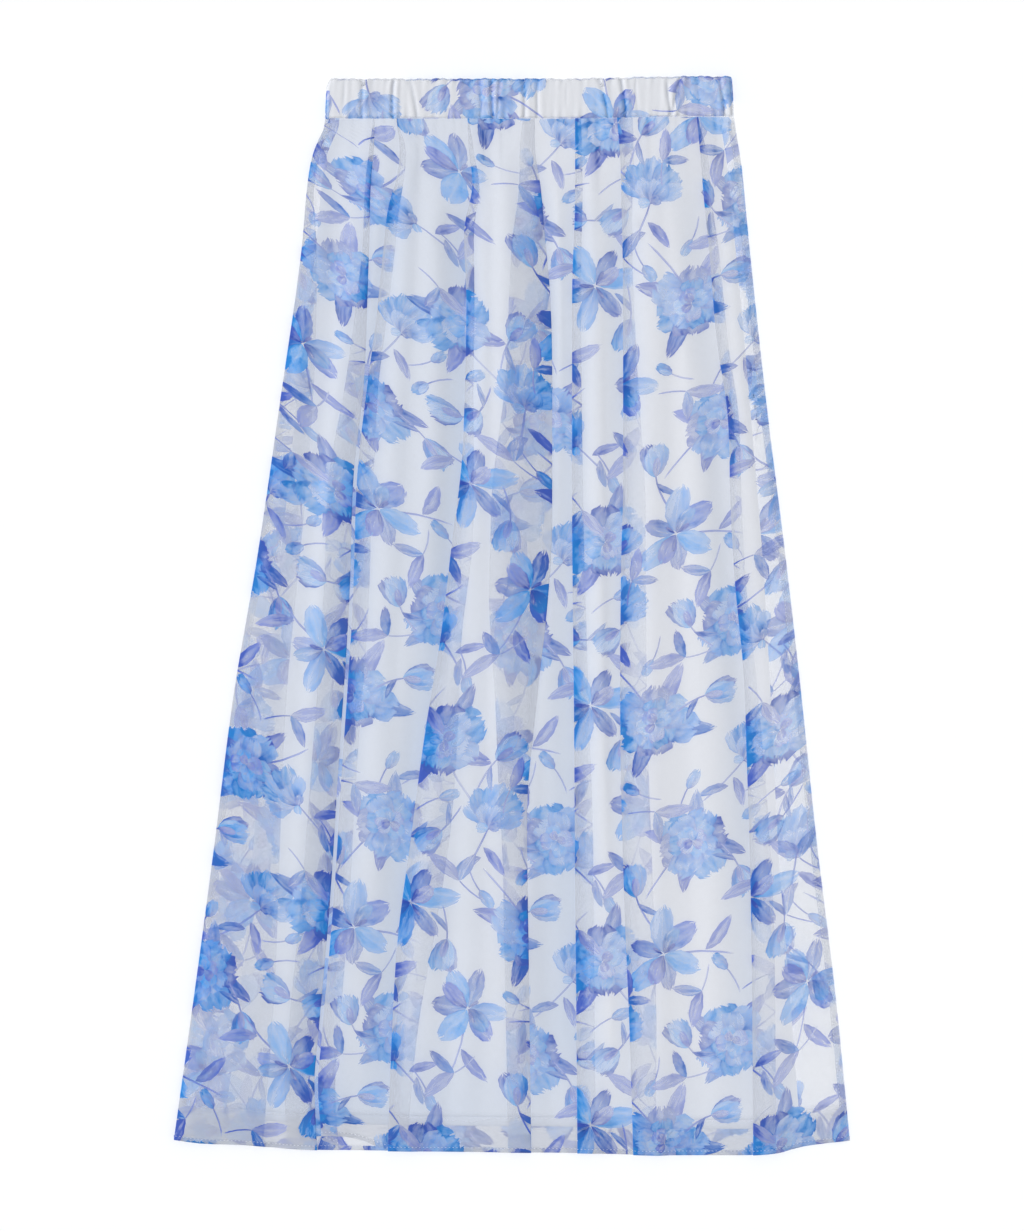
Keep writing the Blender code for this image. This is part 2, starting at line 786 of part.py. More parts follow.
def band_loop(below, inset, thickness):
    """One loop round the flattened band: over the front, round the right end and back under."""
    half = thickness / 2 - inset
    middle = BAND_THICKNESS / 2
    corner = BAND_CORNER * (1 - smooth(below / CORNER_DEPTH))
    left = side(below, "left") + middle + corner + TUCKED_LEFT * (1 - below / BAND_HEIGHT)
    right = side(below, "right") - middle - TUCKED_RIGHT * (1 - below / BAND_HEIGHT)
    on_face = 1.0 if thickness == BAND_THICKNESS else 0.0
    loop = [(x, middle + half - on_face * dent)
            for x, dent in pucker_columns(FRONT_PUCKERS, below, left, right)]
    for i in range(1, END_STEPS):
        t = math.pi * i / END_STEPS
        loop.append((right + half * math.sin(t), middle + half * math.cos(t)))
    loop += [(x, middle - half + on_face * dent)
             for x, dent in reversed(pucker_columns(BACK_PUCKERS, below, left, right))]
    for i in range(1, END_STEPS):
        t = math.pi * i / END_STEPS
        loop.append((left - half * math.sin(t), middle - half * math.cos(t)))
    return loop


def scallop(x, below):
    """The top edge is drawn into small waves by the elastic."""
    wave = 0.5 + sum(w.height * math.sin(x / w.spread + w.start) for w in SCALLOPS)
    return wave * max(0.0, 1 - below / SCALLOP_DEPTH)


def build_waistband():
    bm = bmesh.new()

    def ring(below, inset, thickness):
        loop = band_loop(below, inset, thickness)
        return [point(bm, x, below + scallop(x, below) + waist_dip(x, below), z) for x, z in loop]

    outer = [ring(row.below, row.inset, BAND_THICKNESS) for row in BAND_ROWS]
    inner = [
        ring(row.below, 0.0, BAND_THICKNESS - 2 * CASING) for row in (BAND_ROWS[-1], BAND_ROWS[0])
    ]
    rings = outer + inner + outer[:1]
    for upper, lower in zip(rings, rings[1:]):
        for i in range(len(upper)):
            n = (i + 1) % len(upper)
            bm.faces.new((upper[i], lower[i], lower[n], upper[n]))
    return add_object("waistband", bm)


def clear_scene():
    for thing in list(bpy.data.objects):
        bpy.data.objects.remove(thing, do_unlink=True)


def main():
    clear_scene()
    build_skirt_back()
    build_lining("lining_back", BACK_LINING_HEM, 1)
    build_lining("lining_front", FRONT_LINING_HEM, 2)
    build_skirt_front()
    build_waistband()


main()
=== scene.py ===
import math
from bisect import bisect_right
from collections import Counter
from functools import lru_cache, partial
from random import Random

import bpy
import numpy as np
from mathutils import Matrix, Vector
from mathutils.geometry import delaunay_2d_cdt


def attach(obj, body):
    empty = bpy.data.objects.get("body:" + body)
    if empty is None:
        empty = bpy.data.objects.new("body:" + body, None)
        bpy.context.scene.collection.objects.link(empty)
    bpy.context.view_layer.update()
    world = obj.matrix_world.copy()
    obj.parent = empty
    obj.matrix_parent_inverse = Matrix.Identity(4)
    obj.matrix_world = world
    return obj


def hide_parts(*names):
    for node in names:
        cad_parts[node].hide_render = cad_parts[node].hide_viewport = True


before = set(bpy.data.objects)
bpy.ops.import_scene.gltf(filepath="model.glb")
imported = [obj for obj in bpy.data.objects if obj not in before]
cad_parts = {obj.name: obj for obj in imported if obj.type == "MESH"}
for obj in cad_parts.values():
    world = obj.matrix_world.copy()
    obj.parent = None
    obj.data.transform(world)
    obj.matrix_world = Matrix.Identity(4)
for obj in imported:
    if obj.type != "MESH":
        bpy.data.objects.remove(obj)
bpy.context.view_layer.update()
mm = 0.001  # tables and functions are in millimetres, meshes in metres
length = 900.0  # waist to hem; "below" is always measured down from the band's top edge
bandFoot = 34.0
skirtTop = 34.3
print("frame loaded")


def intoScene(name, data):
    made = bpy.data.objects.new(name, data)
    bpy.context.scene.collection.objects.link(made)
    return made


def meshPiece(name, points, faces):  # points in metres
    mesh = bpy.data.meshes.new(name)
    mesh.from_pydata(points, [], faces)
    mesh.shade_smooth()
    return intoScene(name, mesh)


# the view: straight down on the laid-out skirt

view = {"height": 3.0, "pictureTall": 1.0279, "sensor": 24.0}


def aimCamera():
    data = bpy.data.cameras.new("viewFromAbove")
    data.sensor_fit = "VERTICAL"
    data.sensor_height = view["sensor"]
    data.lens = view["sensor"] * view["height"] / view["pictureTall"]
    camera = intoScene("viewFromAbove", data)
    camera.location = (0, 0, view["height"])
    bpy.context.scene.camera = camera


aimCamera()
print("camera placed")


# the skirt's measures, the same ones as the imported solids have

outline = {
    "below": [34, 42, 52, 64, 78, 98, 145, 270, 408, 520, 646, 771, 900],
    "left": [-156, -157, -161.5, -166, -169, -171.5, -175.5, -193, -213, -232, -248, -264.5, -282],
    "right": [185.5, 186.5, 188, 190, 192, 194, 198.5, 212, 229, 241.5, 254.5, 269.5, 282],
}
hemLine = {
    "x": [-282, -260, -227, -177, -127, -60, 70, 124, 190, 222, 242, 282],
    "below": [887, 890, 891, 895, 896, 897, 898.5, 900, 900, 898, 893, 888],
}
waistDip = {"deep": 2.0, "start": 40.0, "wide": 110.0, "fade": 160.0}  # lower on the left
puffs = {"below": [34, 76, 790, 880, 900], "share": [1, 1, 1, 0.36, 0.3]}
stack = {  # heights and reaches of the layers
    "wall": 1.0, "ply": 1.4, "gap": 0.3, "backPuff": 3.4, "puffStart": 12.0, "puffWidth": 55.0,
    "pinch": 11.0, "hemPinch": (880, 20), "frontLift": 0.2, "waistShare": 0.68, "waistEase": 46.0,
}
bends = {  # how a fold is drawn: millimetres, degrees (from, over) and steps
    "radius": 0.75, "fullBend": 100.0, "leastTurn": 4.0, "lapTurn": (150, 30), "pressTurn": (90, 60),
    "leastTuck": 0.8, "ramp": 14.0, "rampShare": 0.42, "clearance": 1.2, "leastCover": 1.6,
    "arcSteps": 5, "tuckSteps": 4, "coverSteps": 2, "rampSteps": 5, "nearSteps": 5,
    "farShares": (0.15, 0.3, 0.45, 0.6, 0.75, 0.88, 1.0),
}
foldInkAndShade = {  # how the print shows: stronger along a fold's edge, where it is part doubled cloth and part painted shade, and veiled where cloth lies over cloth
    "edge": 1.5, "vividTo": (5.0, 11.0), "even": 0.55, "uneven": ((0.3, 27), (0.2, 11.3)),
    "veiled": 0.66, "veil": (5, 6), "wrap": 0.42, "wrapOver": 4, "wrapVeil": 1.25,
    "gather": 0.55, "gatherWide": 1.3, "hem": 0.3, "pastLining": (866, 6),
}


def smooth(t):
    t = min(1.0, max(0.0, t))
    return t * t * (3 - 2 * t)


def eased(value, start, over):  # from 0 at start to 1 after over
    return smooth((value - start) / over)


def tableAt(table, key, at, column):  # a smooth curve through a table's columns
    keys, values = table[key], table[column]
    if at <= keys[0]:
        return values[0]
    if at >= keys[-1]:
        return values[-1]
    i = bisect_right(keys, at) - 1

    def slope(n):
        n = min(max(n, 0), len(keys) - 2)
        return (values[n + 1] - values[n]) / (keys[n + 1] - keys[n])

    before, here, after = slope(i - 1), slope(i), slope(i + 1)
    step = keys[i + 1] - keys[i]
    start = (before + here) / 2 if before * here > 0 else 0.0
    end = (after + here) / 2 if after * here > 0 else 0.0
    t = (at - keys[i]) / step
    return (values[i] * (1 + 2 * t) * (1 - t) ** 2 + values[i + 1] * t * t * (3 - 2 * t)
            + step * (start * t * (1 - t) ** 2 - end * t * t * (1 - t)))


@lru_cache(maxsize=None)
def edgeAt(below, which):
    return tableAt(outline, "below", below, which)


def hemBelow(x, below):  # rows are spread between the seam and the uneven hem
    share = (below - skirtTop) / (length - skirtTop)
    return skirtTop + share * (tableAt(hemLine, "x", x, "below") - skirtTop) + dipAt(x, below)


def dipAt(x, below):
    across = 1 - smooth((x - waistDip["start"]) / waistDip["wide"])
    return waistDip["deep"] * across * (1 - smooth(below / waistDip["fade"]))


def fromSide(x, below):
    return min(x - edgeAt(below, "left"), edgeAt(below, "right") - x)


@lru_cache(maxsize=None)
def puffShare(below):
    return tableAt(puffs, "below", below, "share")


def puff(x, below):  # the back's folds hold the linings and the front up
    across = smooth((fromSide(x, below) - stack["puffStart"]) / stack["puffWidth"])
    return stack["backPuff"] * puffShare(below) * across


def frontBase(x, below):
    onLining = smooth(fromSide(x, below) / stack["pinch"]) * (1 - eased(below, *stack["hemPinch"]))
    edge = stack["wall"] + stack["gap"] + stack["wall"] / 2
    high = 3 * stack["ply"] + stack["wall"] / 2 + stack["frontLift"]
    return edge + (high - edge) * onLining + puff(x, below)


def settle(below):  # the cloth is drawn together where it goes into the band
    ease = smooth((below - skirtTop) / stack["waistEase"])
    return stack["waistShare"] + (1 - stack["waistShare"]) * ease


# soft form: long creases down the cloth, and gathers under the band

longCreases = {
    "waistX": [-149, -134, -84, -64, -20, -6, 8, 66, 112, 128, 146, 172],
    "hemX": [-252, -212, -128, -72, -40, -8, 34, 78, 122, 158, 226, 250],
    "width": [15, 12, 14, 17, 13, 15, 12, 10, 20, 13, 15, 10],
    "height": [0.9, -0.5, 1.1, 0.9, 0.8, 1.2, -0.6, 0.9, 1.2, -0.55, -0.6, 0.8],
    "start": [60, 90, 42, 60, 180, 38, 210, 40, 40, 130, 260, 70],
    "stop": [900, 820, 720, 960, 930, 640, 960, 680, 960, 930, 960, 840],
}
gathers = {
    "x": [-151, -144, -136, -129, -122, -109, -101, -88, -82, -75, -67, -58, -51, -44, -27, -19,
          -12, -4, 8, 35, 42, 61, 68, 75, 81, 103, 110, 118, 127, 134, 143, 166, 173, 180],
    "height": [1.0, 0.7, 1.3, 0.8, 1.5, 0.9, 1.1, 1.0, 1.4, 0.8, 1.2, 0.7, 1.0, 0.8, 1.3, 0.8,
               1.5, 0.9, 1.0, 1.2, 0.9, 1.0, 1.5, 0.9, 1.1, 0.9, 1.3, 0.8, 1.5, 0.9, 1.0, 1.2,
               0.9, 1.0],
    "width": [5, 4, 6, 4, 6, 5, 5, 5, 6, 4, 6, 4, 5, 4, 6, 4, 6, 5, 5, 6, 4, 5, 6, 4, 5, 5, 6, 4,
              7, 5, 5, 6, 4, 5],
    "reach": [34, 18, 52, 22, 60, 26, 38, 30, 66, 20, 44, 18, 40, 22, 56, 20, 70, 28, 34, 48, 24,
              36, 72, 22, 40, 26, 58, 20, 80, 30, 36, 54, 26, 30],
}

creaseFade = {"in": 60, "out": 110, "narrow": 0.8, "widens": 0.5}
gatherFade = {"over": 1.35, "wide": 1.5, "narrows": 0.5}


def hump(off):  # 1 in the middle, 0 one width away
    return 0.5 + 0.5 * math.cos(math.pi * off)


def creased(x, below):
    height = 0.0
    run = (below - skirtTop) / (length - skirtTop)
    spread = creaseFade["narrow"] + creaseFade["widens"] * run
    for waistX, hemX, width, tall, start, stop in zip(*longCreases.values()):
        off = abs(x - waistX - (hemX - waistX) * run) / (width * spread)
        if off < 1:
            fade = smooth((below - start) / creaseFade["in"]) * smooth((stop - below) / creaseFade["out"])
            height += tall * fade * hump(off)
    return height


@lru_cache(maxsize=None)
def gathersAt(below):  # place, height, width and what is left of each gather that reaches this far
    found = []
    for at, tall, width, reach in zip(*gathers.values()):
        fade = 1 - (below - skirtTop) / (gatherFade["over"] * reach)
        if fade > 0:
            found.append((at, tall, width, fade))
    return found


def gathered(x, below, shift=0.0, share=1.0):
    height = 0.0
    for at, tall, width, fade in gathersAt(below):
        off = abs(x - at - shift) / (width * (gatherFade["wide"] - gatherFade["narrows"] * fade))
        if off < 1:
            height += share * tall * smooth(fade) * hump(off)
    return height


def gatherLine(x, below):  # painted shade: the print is stronger down one flank of each gather, standing in for the shade on that flank
    line = 0.0
    for at, tall, width, fade in gathersAt(below):
        line += tall * smooth(fade) * math.exp(-((x - at - 0.5 * width) / foldInkAndShade["gatherWide"]) ** 2)
    return foldInkAndShade["gather"] * line


valleys = {  # the cloth sinks to each fold's edge
    "from": 44.0, "over": 110.0,
    "folds": {  # how deep at the waist and the hem, how wide to the left at each, and to the right
        "invertedLeft": (1.2, 2.2, 24, 34, 16),
        "invertedRight": (1.4, 1.6, 16, 16, 26),
        "leftKnife": (2.4, 2.2, 26, 30, 18),
        "middleKnife": (2.6, 0.8, 30, 24, 20),
        "longCrease": (2.0, 3.6, 22, 66, 34),
        "waistTuck": (2.2, 1.0, 26, 22, 30),
        "rightKnife": (2.4, 2.0, 30, 34, 18),
    },
}


def valleysAt(below):
    run = smooth((below - skirtTop) / (length - skirtTop))
    fade = smooth((below - valleys["from"]) / valleys["over"]) * puffShare(below)
    dips = []
    for name, (deepTop, deepFoot, leftTop, leftFoot, right) in valleys["folds"].items():
        at = tableAt(frontPanel["folds"][name], "below", below, "x")
        deep = deepTop * (1 - run) + deepFoot * run
        dips.append((at, deep * fade, leftTop * (1 - run) + leftFoot * run, right))
    return dips


def sunk(x, below, dips):
    deepest = 0.0
    for at, deep, left, right in dips:
        deepest = max(deepest, deep * (1 - smooth(abs(x - at) / (left if x < at else right))))
    return deepest * puff(x, below) / stack["backPuff"]


# folds: a row across the cloth is a line of flat runs joined by folds

frontPanel = {
    "runSteps": (9, 13, 3, 7, 12, 5, 6, 12, 10), "outside": 1, "reference": "longCrease",
    "sideWrap": {
        "below": [34, 110, 200, 270, 355, 520, 630, 790, 900],
        "lap": [2, 5, 20, 25, 30, 42, 51, 66, 72],
    },
    "folds": {
        "invertedLeft": {
            "faces": 1,
            "below": [34, 60, 90, 145, 190, 260, 330, 440, 595, 690, 811, 842, 900],
            "x": [-114.5, -115, -117.5, -119, -120.5, -123.5, -131.5, -135.5, -145.5, -151.5,
                  -162, -164.5, -162.5],
            "lap": [1.5, 2, 2.5, 3.5, 7, 13.5, 18, 19.5, 20.5, 22, 23, 23, 23],
            "turn": [150, 175] + [180] * 11,
        },
        "invertedRight": {
            "faces": -1,
            "below": [34, 60, 85, 110, 145, 203, 260, 330, 440, 595, 690, 811, 842, 900],
            "x": [-97, -93.5, -96, -103, -107, -113, -120.5, -128.5, -132.5, -142.5, -148.5,
                  -159, -161.5, -159],
            "lap": [1.5, 3, 4, 7, 7.5, 6.5, 7, 11, 11, 10, 11, 12, 12, 12],
            "turn": [150, 175] + [180] * 12,
        },
        "leftKnife": {
            "faces": -1,
            "below": [34, 60, 90, 132, 190, 270, 325, 390, 470, 550, 640, 720, 790, 900],
            "x": [-37, -36, -33, -40, -38, -39.5, -42, -50, -59.5, -72.5, -84.5, -95, -99.5,
                  -103.5],
            "lap": [2, 2, 3.5, 6, 4.5, 5, 8, 15, 15.5, 25, 30, 28, 20, 13],
            "turn": [150, 175] + [180] * 12,
        },
        "middleKnife": {
            "faces": 1,
            "below": [34, 64, 94, 136, 178, 257, 370, 437, 520, 620, 740, 900],
            "x": [19, 19.5, 24, 27.5, 31.5, 33.5, 33.5, 30, 21, 12.5, 14, 16],
            "lap": [8, 11, 16, 25, 31.5, 37, 49, 47, 33, 20, 18, 17],
            "turn": [180] * 12,
        },
        "longCrease": {
            "faces": -1,
            "below": [34, 100, 186, 350, 520, 654, 900],
            "x": [52.5, 52.5, 50, 50, 51.5, 52.5, 54.5],
            "lap": [4, 4, 5, 7, 10, 13, 13],
            "turn": [170] + [180] * 6,
        },
        "waistTuck": {
            "faces": -1, "vivid": 0.45,
            "below": [34, 68, 103, 145, 234, 345, 400, 520, 690, 800, 900],
            "x": [87.5, 90, 91, 92, 92.5, 92.5, 91, 90, 93.5, 98, 101],
            "lap": [11, 9, 7, 6, 9, 16, 18, 20, 22, 20, 16],
            "turn": [180] * 11,
        },
        "rightKnife": {
            "faces": -1, "vivid": 0.4,
            "below": [34, 68, 100, 149, 220, 282, 357, 420, 500, 570, 646, 730, 900],
            "x": [154, 157, 159.5, 164.5, 170.5, 179.5, 182, 185.5, 193, 195.5, 198, 199.5, 201],
            "lap": [4, 4.5, 4.5, 6, 7, 7, 7, 7, 8, 12, 15, 17, 17],
            "turn": [150, 175] + [180] * 11,
        },
    },
}
backRows = [34, 76, 160, 300, 600, 700, 790, 868, 900]
backTurn = [60, 180, 180, 180, 180, 180, 150, 20, 4]
backPanel = {
    "runSteps": (9, 7, 12, 8, 9), "outside": -1, "reference": "backMiddleLeft",
    "folds": {
        "backLeft": {
            "faces": 1, "below": backRows,
            "x": [-98, -99, -104, -116, -145, -154, -161, -166, -168],
            "lap": [1, 1.5, 7, 10, 16, 12, 1, 1, 1], "turn": backTurn,
        },
        "backMiddleLeft": {
            "faces": -1, "below": backRows,
            "x": [-48, -47, -48, -52, -70, -78, -83, -86, -88],
            "lap": [1, 1.5, 8, 11, 18, 13, 1, 1, 1], "turn": backTurn,
        },
        "backMiddleRight": {
            "faces": 1, "below": backRows,
            "x": [44, 45, 48, 52, 66, 71, 75, 78, 80],
            "lap": [1, 1.5, 6, 9, 14, 10, 1, 1, 1], "turn": backTurn,
        },
        "backRight": {
            "faces": -1, "below": backRows,
            "x": [118, 120, 126, 136, 162, 170, 177, 183, 186],
            "lap": [1, 1.5, 8, 12, 17, 12, 1, 1, 1], "turn": backTurn,
        },
    },
}


def withSideWrap(panel):  # the front goes round the left side: one more fold, facing left
    below = outline["below"]
    wrap = {
        "faces": -1, "below": below, "x": outline["left"], "turn": [180] * len(below), "vivid": 1.8,
        "lap": [tableAt(panel["sideWrap"], "below", b, "lap") for b in below],
    }
    return {"sideWrap": wrap, **panel["folds"]}


def foldProfile(turn, lap, near, below, vivid):
    # from the upper layer, round, back under, and round again, with the print's strength and the painted
    # shade at its edge along it
    angle = math.radians(max(turn, bends["leastTurn"]))
    radius = bends["radius"] * max(1.0, math.radians(bends["fullBend"]) / angle)
    tuck = bends["leastTuck"] + lap * eased(turn, *bends["lapTurn"])
    arcs = [angle * i / bends["arcSteps"] for i in range(bends["arcSteps"] + 1)]
    points = [(radius * math.sin(t), -radius * (1 - math.cos(t))) for t in arcs]
    x, height = points[-1]
    edge, wide = (vivid * reach for reach in foldInkAndShade["vividTo"])
    shares = [i / bends["tuckSteps"] for i in range(bends["tuckSteps"] + 1)]
    if near:
        shares = crowded(tuck, near)
    elif tuck > 1.5 * wide:
        shares = [0, edge / tuck, wide / tuck, (1 + wide / tuck) / 2, 1]
    points += [(x + share * tuck * math.cos(angle), height - share * tuck * math.sin(angle))
               for share in shares[1:-1]]
    x += tuck * math.cos(angle)
    height -= tuck * math.sin(angle)
    points += [(x + radius * (math.sin(angle) - math.sin(angle - t)),
                height - radius * (math.cos(angle - t) - math.cos(angle))) for t in arcs]
    pressed = eased(turn, *bends["pressTurn"])
    inside = [pressed * strengthAt(tuck * share / vivid, below, turn + lap) for share in shares[1:]]
    return points, [foldInkAndShade["edge"] * pressed] * len(arcs) + inside[:-1] + inside[-1:] * len(arcs)


def strengthAt(distance, below, shift):
    # near its edge a fold is a line of strong colour that comes and goes, part doubled print and part painted
    # shade; further in it is veiled
    edge, wide = foldInkAndShade["vividTo"]
    tight = foldInkAndShade["even"]
    for n, (share, pitch) in enumerate(foldInkAndShade["uneven"], 1):
        tight += share * math.sin(below / pitch + n * shift)
    vivid = smooth((wide - distance) / (wide - edge)) * min(1.0, max(0.0, tight))
    return vivid - foldInkAndShade["veiled"] * (1 - vivid)


def crowded(run, near):  # fractions of a run, closer together within a distance of its start
    close = [near * i / bends["nearSteps"] / run for i in range(bends["nearSteps"] + 1)]
    return close + [(near + (run - near) * share) / run for share in bends["farShares"]]


def placeFold(fold, below, outside, near):
    values = {c: tableAt(fold, "below", below, c) for c in ("x", "lap", "turn")}
    profile, marks = foldProfile(values["turn"], values["lap"], near, below, fold.get("vivid", 1.0))
    reach = max(x for x, _ in profile[: bends["arcSteps"] + 1])
    drop = -profile[-1][1]
    lift = drop if outside > 0 else 0.0
    start = values["x"] - fold["faces"] * reach
    points = [(start + fold["faces"] * x, height + lift) for x, height in profile]
    behind = max(bends["leastCover"], bends["clearance"] - min(x for x, _ in profile))
    ahead = max(bends["leastCover"], bends["clearance"] + reach - profile[-1][0])
    upper = (lift, behind if outside > 0 else 0.0)
    lower = (lift - drop, ahead if outside < 0 else 0.0)
    if fold["faces"] > 0:
        return points, marks, upper, lower
    return points[::-1], marks[::-1], lower, upper


def runPoints(x0, x1, first, last, steps, crowdStart, crowdEnd):  # one flat run between two folds
    (level0, cover0), (level1, cover1) = first, last
    room = x1 - x0 - cover0 - cover1
    ramps = sum(1 for cover in (cover0, cover1) if cover > 0)
    ramp = min(bends["ramp"], bends["rampShare"] * room * (2 if ramps == 1 else 1))
    flat = max(level0, level1, key=abs) * (1 - ramp / bends["ramp"]) if ramps == 2 else 0.0
    knots = [(x0, level0)]
    counts = []
    if cover0 > 0:
        knots += [(x0 + cover0, level0), (x0 + cover0 + ramp, flat)]
        counts += [bends["coverSteps"], bends["rampSteps"]]
    counts.append(steps * finePart["times"])
    if cover1 > 0:
        knots += [(x1 - cover1 - ramp, flat), (x1 - cover1, level1)]
        counts += [bends["rampSteps"], bends["coverSteps"]]
    knots.append((x1, level1))
    points = []
    for i, ((a, h0), (b, h1)) in enumerate(zip(knots, knots[1:])):
        shares = [n / counts[i] for n in range(counts[i] + 1)]
        if crowdStart and i == 0:
            shares = crowded(b - a, crowdStart)
        if crowdEnd and i == len(counts) - 1:
            shares = [1 - t for t in reversed(crowded(b - a, crowdEnd))]
        points += [(a + (b - a) * t, h0 + (h1 - h0) * smooth(t)) for t in shares[:-1]]
    return points


def side(at, run):  # 1 if the run lies to the right of a fold, -1 if to the left
    return 1 if run[len(run) // 2][0] > at else -1


def hiddenAt(x, laps):  # 1 where the lap of one of these folds lies on the other layer
    return max([0.0] + [eased((at - x) * faces, *foldInkAndShade["veil"]) for at, faces in laps])


def sectionAt(panel, folds, below):
    # x and height over the unfolded cloth, the run or fold that each point belongs to,
    # and how much stronger or weaker than plain the print shows there, with painted shade along fold edges
    wrapped = "sideWrap" in folds
    line, kinds, pressed, neighbours = [], [], [], []
    level = (0.0, 0.0)
    x = edgeAt(below, "left") + (stack["wall"] if wrapped else 0.0)
    end = edgeAt(below, "right")
    near = None
    if wrapped:
        lap = tableAt(folds["sideWrap"], "below", below, "lap")
        near = min(stack["pinch"], 0.6 * (bends["leastTuck"] + lap))
    for i, fold in enumerate([*folds.values(), None]):
        neighbours = neighbours[-1:]
        if fold:
            bend, marks, before, after = placeFold(fold, below, panel["outside"], near if i == 0 else None)
            neighbours.append((tableAt(fold, "below", below, "x"), fold["faces"]))
        else:
            bend, before, after = [(end, 0.0)], (0.0, 0.0), None
        run = runPoints(x, bend[0][0], level, before, panel["runSteps"][i],
                        near if wrapped and i < 2 else None,
                        stack["pinch"] if wrapped and fold is None else None)
        laps = [(at, faces) for at, faces in neighbours if faces == side(at, run)]
        veil = foldInkAndShade["veiled"] * (foldInkAndShade["wrapVeil"] if i == 0 else 1.0)
        runMarks = [-veil * hiddenAt(x, laps) for x, _ in run]
        if i:
            runMarks[0] = lastMark
        if wrapped and i == 1:  # over the wrapped edge the print looks deeper
            reach = lap + edgeAt(below, "left")
            runMarks = [mark + foldInkAndShade["wrap"] * smooth((reach - x) / foldInkAndShade["wrapOver"])
                        for mark, (x, _) in zip(runMarks, run)]
        line += run
        kinds += [2 * i] * len(run)
        pressed += runMarks
        if fold:
            line += bend[:-1]
            kinds += [2 * i + 1] * (len(bend) - 1)
            pressed += marks[:-1]
            lastMark = marks[-1]
        x, level = bend[-1][0], after
    line.append((end, 0.0))
    kinds.append(kinds[-1])
    pressed.append(0.0)
    return line, kinds, pressed


# a cloth is a grid of rows: s along the cloth, v down it, and where each point lies

clothRows = [skirtTop + 3.2 * n for n in range(20)] + [96.0 + 10 * n for n in range(79)]
clothRows += [880, 885, 890, 895, 898.5]
finePart = {"times": 3, "below": 92.0, "spacing": 4.6}  # the gathers need closer columns than the rest
rolledHem = {"radius": 0.35, "turns": (0.0, 0.35, 0.75, 1.1), "deep": 4.6}
flick = {"high": 12.0, "from": 850, "over": 50, "fall": 1.1}  # one fold's hem turns up at its corner
backGathers = {"shift": 3.7, "share": 0.5}


def hemRows():  # (v, below, sink) of the rows that roll the hem under
    radius, deep = rolledHem["radius"], rolledHem["deep"]
    rows = []
    for turned in rolledHem["turns"]:
        angle = min(turned / radius, math.pi)
        rows.append((length + turned, length + radius * math.sin(angle), radius * (1 - math.cos(angle))))
    rows.append((length + deep, length - deep + rolledHem["turns"][-1], 2 * radius))
    return rows


def emptyGrid(*marks):
    return {key: [] for key in ("v", "s", "x", "y", "z", *marks)}


def addRow(grid, **row):
    for key, values in row.items():
        grid[key].append(values)


def asArrays(grid):
    return {key: np.array(rows) for key, rows in grid.items()}


def alongRow(xs, zs):  # how far along the row each of its points lies
    return np.concatenate([[0], np.cumsum(np.hypot(np.diff(xs), np.diff(zs)))])


def sharesOf(kinds):  # how far through its own run or fold each point of a row is
    count, seen, shares = Counter(kinds), Counter(), []
    for kind in kinds:
        shares.append(seen[kind] / count[kind])
        seen[kind] += 1
    return shares


def makeGrid(panel):
    front = panel["outside"] > 0
    folds = withSideWrap(panel) if front else panel["folds"]
    names = list(folds)
    refKind = 2 * names.index(panel["reference"]) + 1
    rise = 2 * names.index("invertedRight") + 1 if front else None
    rows = [(v, v, 0.0) for v in clothRows] + hemRows()
    grid = emptyGrid("pressed", "cover")
    for v, below, sink in rows:
        shape = min(v, length)
        line, kinds, pressed = sectionAt(panel, folds, shape)
        dips = valleysAt(shape)
        lifted = flick["high"] * eased(shape, flick["from"], flick["over"])
        xs, ys, zs = [], [], []
        for (x, height), kind, share in zip(line, kinds, sharesOf(kinds)):
            if front:
                z = frontBase(x, shape) + height + gathered(x, shape) + creased(x, shape)
                z -= sunk(x, shape, dips)
            else:
                z = stack["wall"] / 2 - height + gathered(x, shape, **backGathers)
            up = 0.0
            if front and kind == rise:
                up = lifted * smooth(share)
            elif front and kind == rise + 1:
                up = lifted * (1 - smooth(flick["fall"] * share))
            xs.append(x)
            ys.append(length / 2 - hemBelow(x, below) + up)
            zs.append(z * settle(shape) - sink * (1 if front else -1))
        s = alongRow(xs, zs)
        past = eased(shape, *foldInkAndShade["pastLining"])  # there the print is clearer and the cloth greyer
        if front:
            pressed = [mark + gatherLine(x, shape) for mark, x in zip(pressed, xs)]
        pressed = [mark + foldInkAndShade["hem"] * past for mark in pressed]
        addRow(grid, v=v, s=s - s[kinds.index(refKind)], x=xs, y=ys, z=zs, pressed=pressed,
               cover=[past] * len(xs))
    grid = asArrays(grid)
    folded = [k for k in range(1, len(kinds) - 1) if kinds[k] % 2 or kinds[k - 1] % 2]
    grid.update(foldColumns=folded, creaseRows=[len(rows) - 4, len(rows) - 3],
                sparse=spaced(grid["s"][len(rows) // 2], folded))
    return grid


def spaced(row, folded):  # the columns kept below the gathers: every fold's, and some between
    kept, last = set(), -1e9
    for k, s in enumerate(row):
        if k in folded or s - last > finePart["spacing"]:
            kept.add(k)
            last = s
    return kept


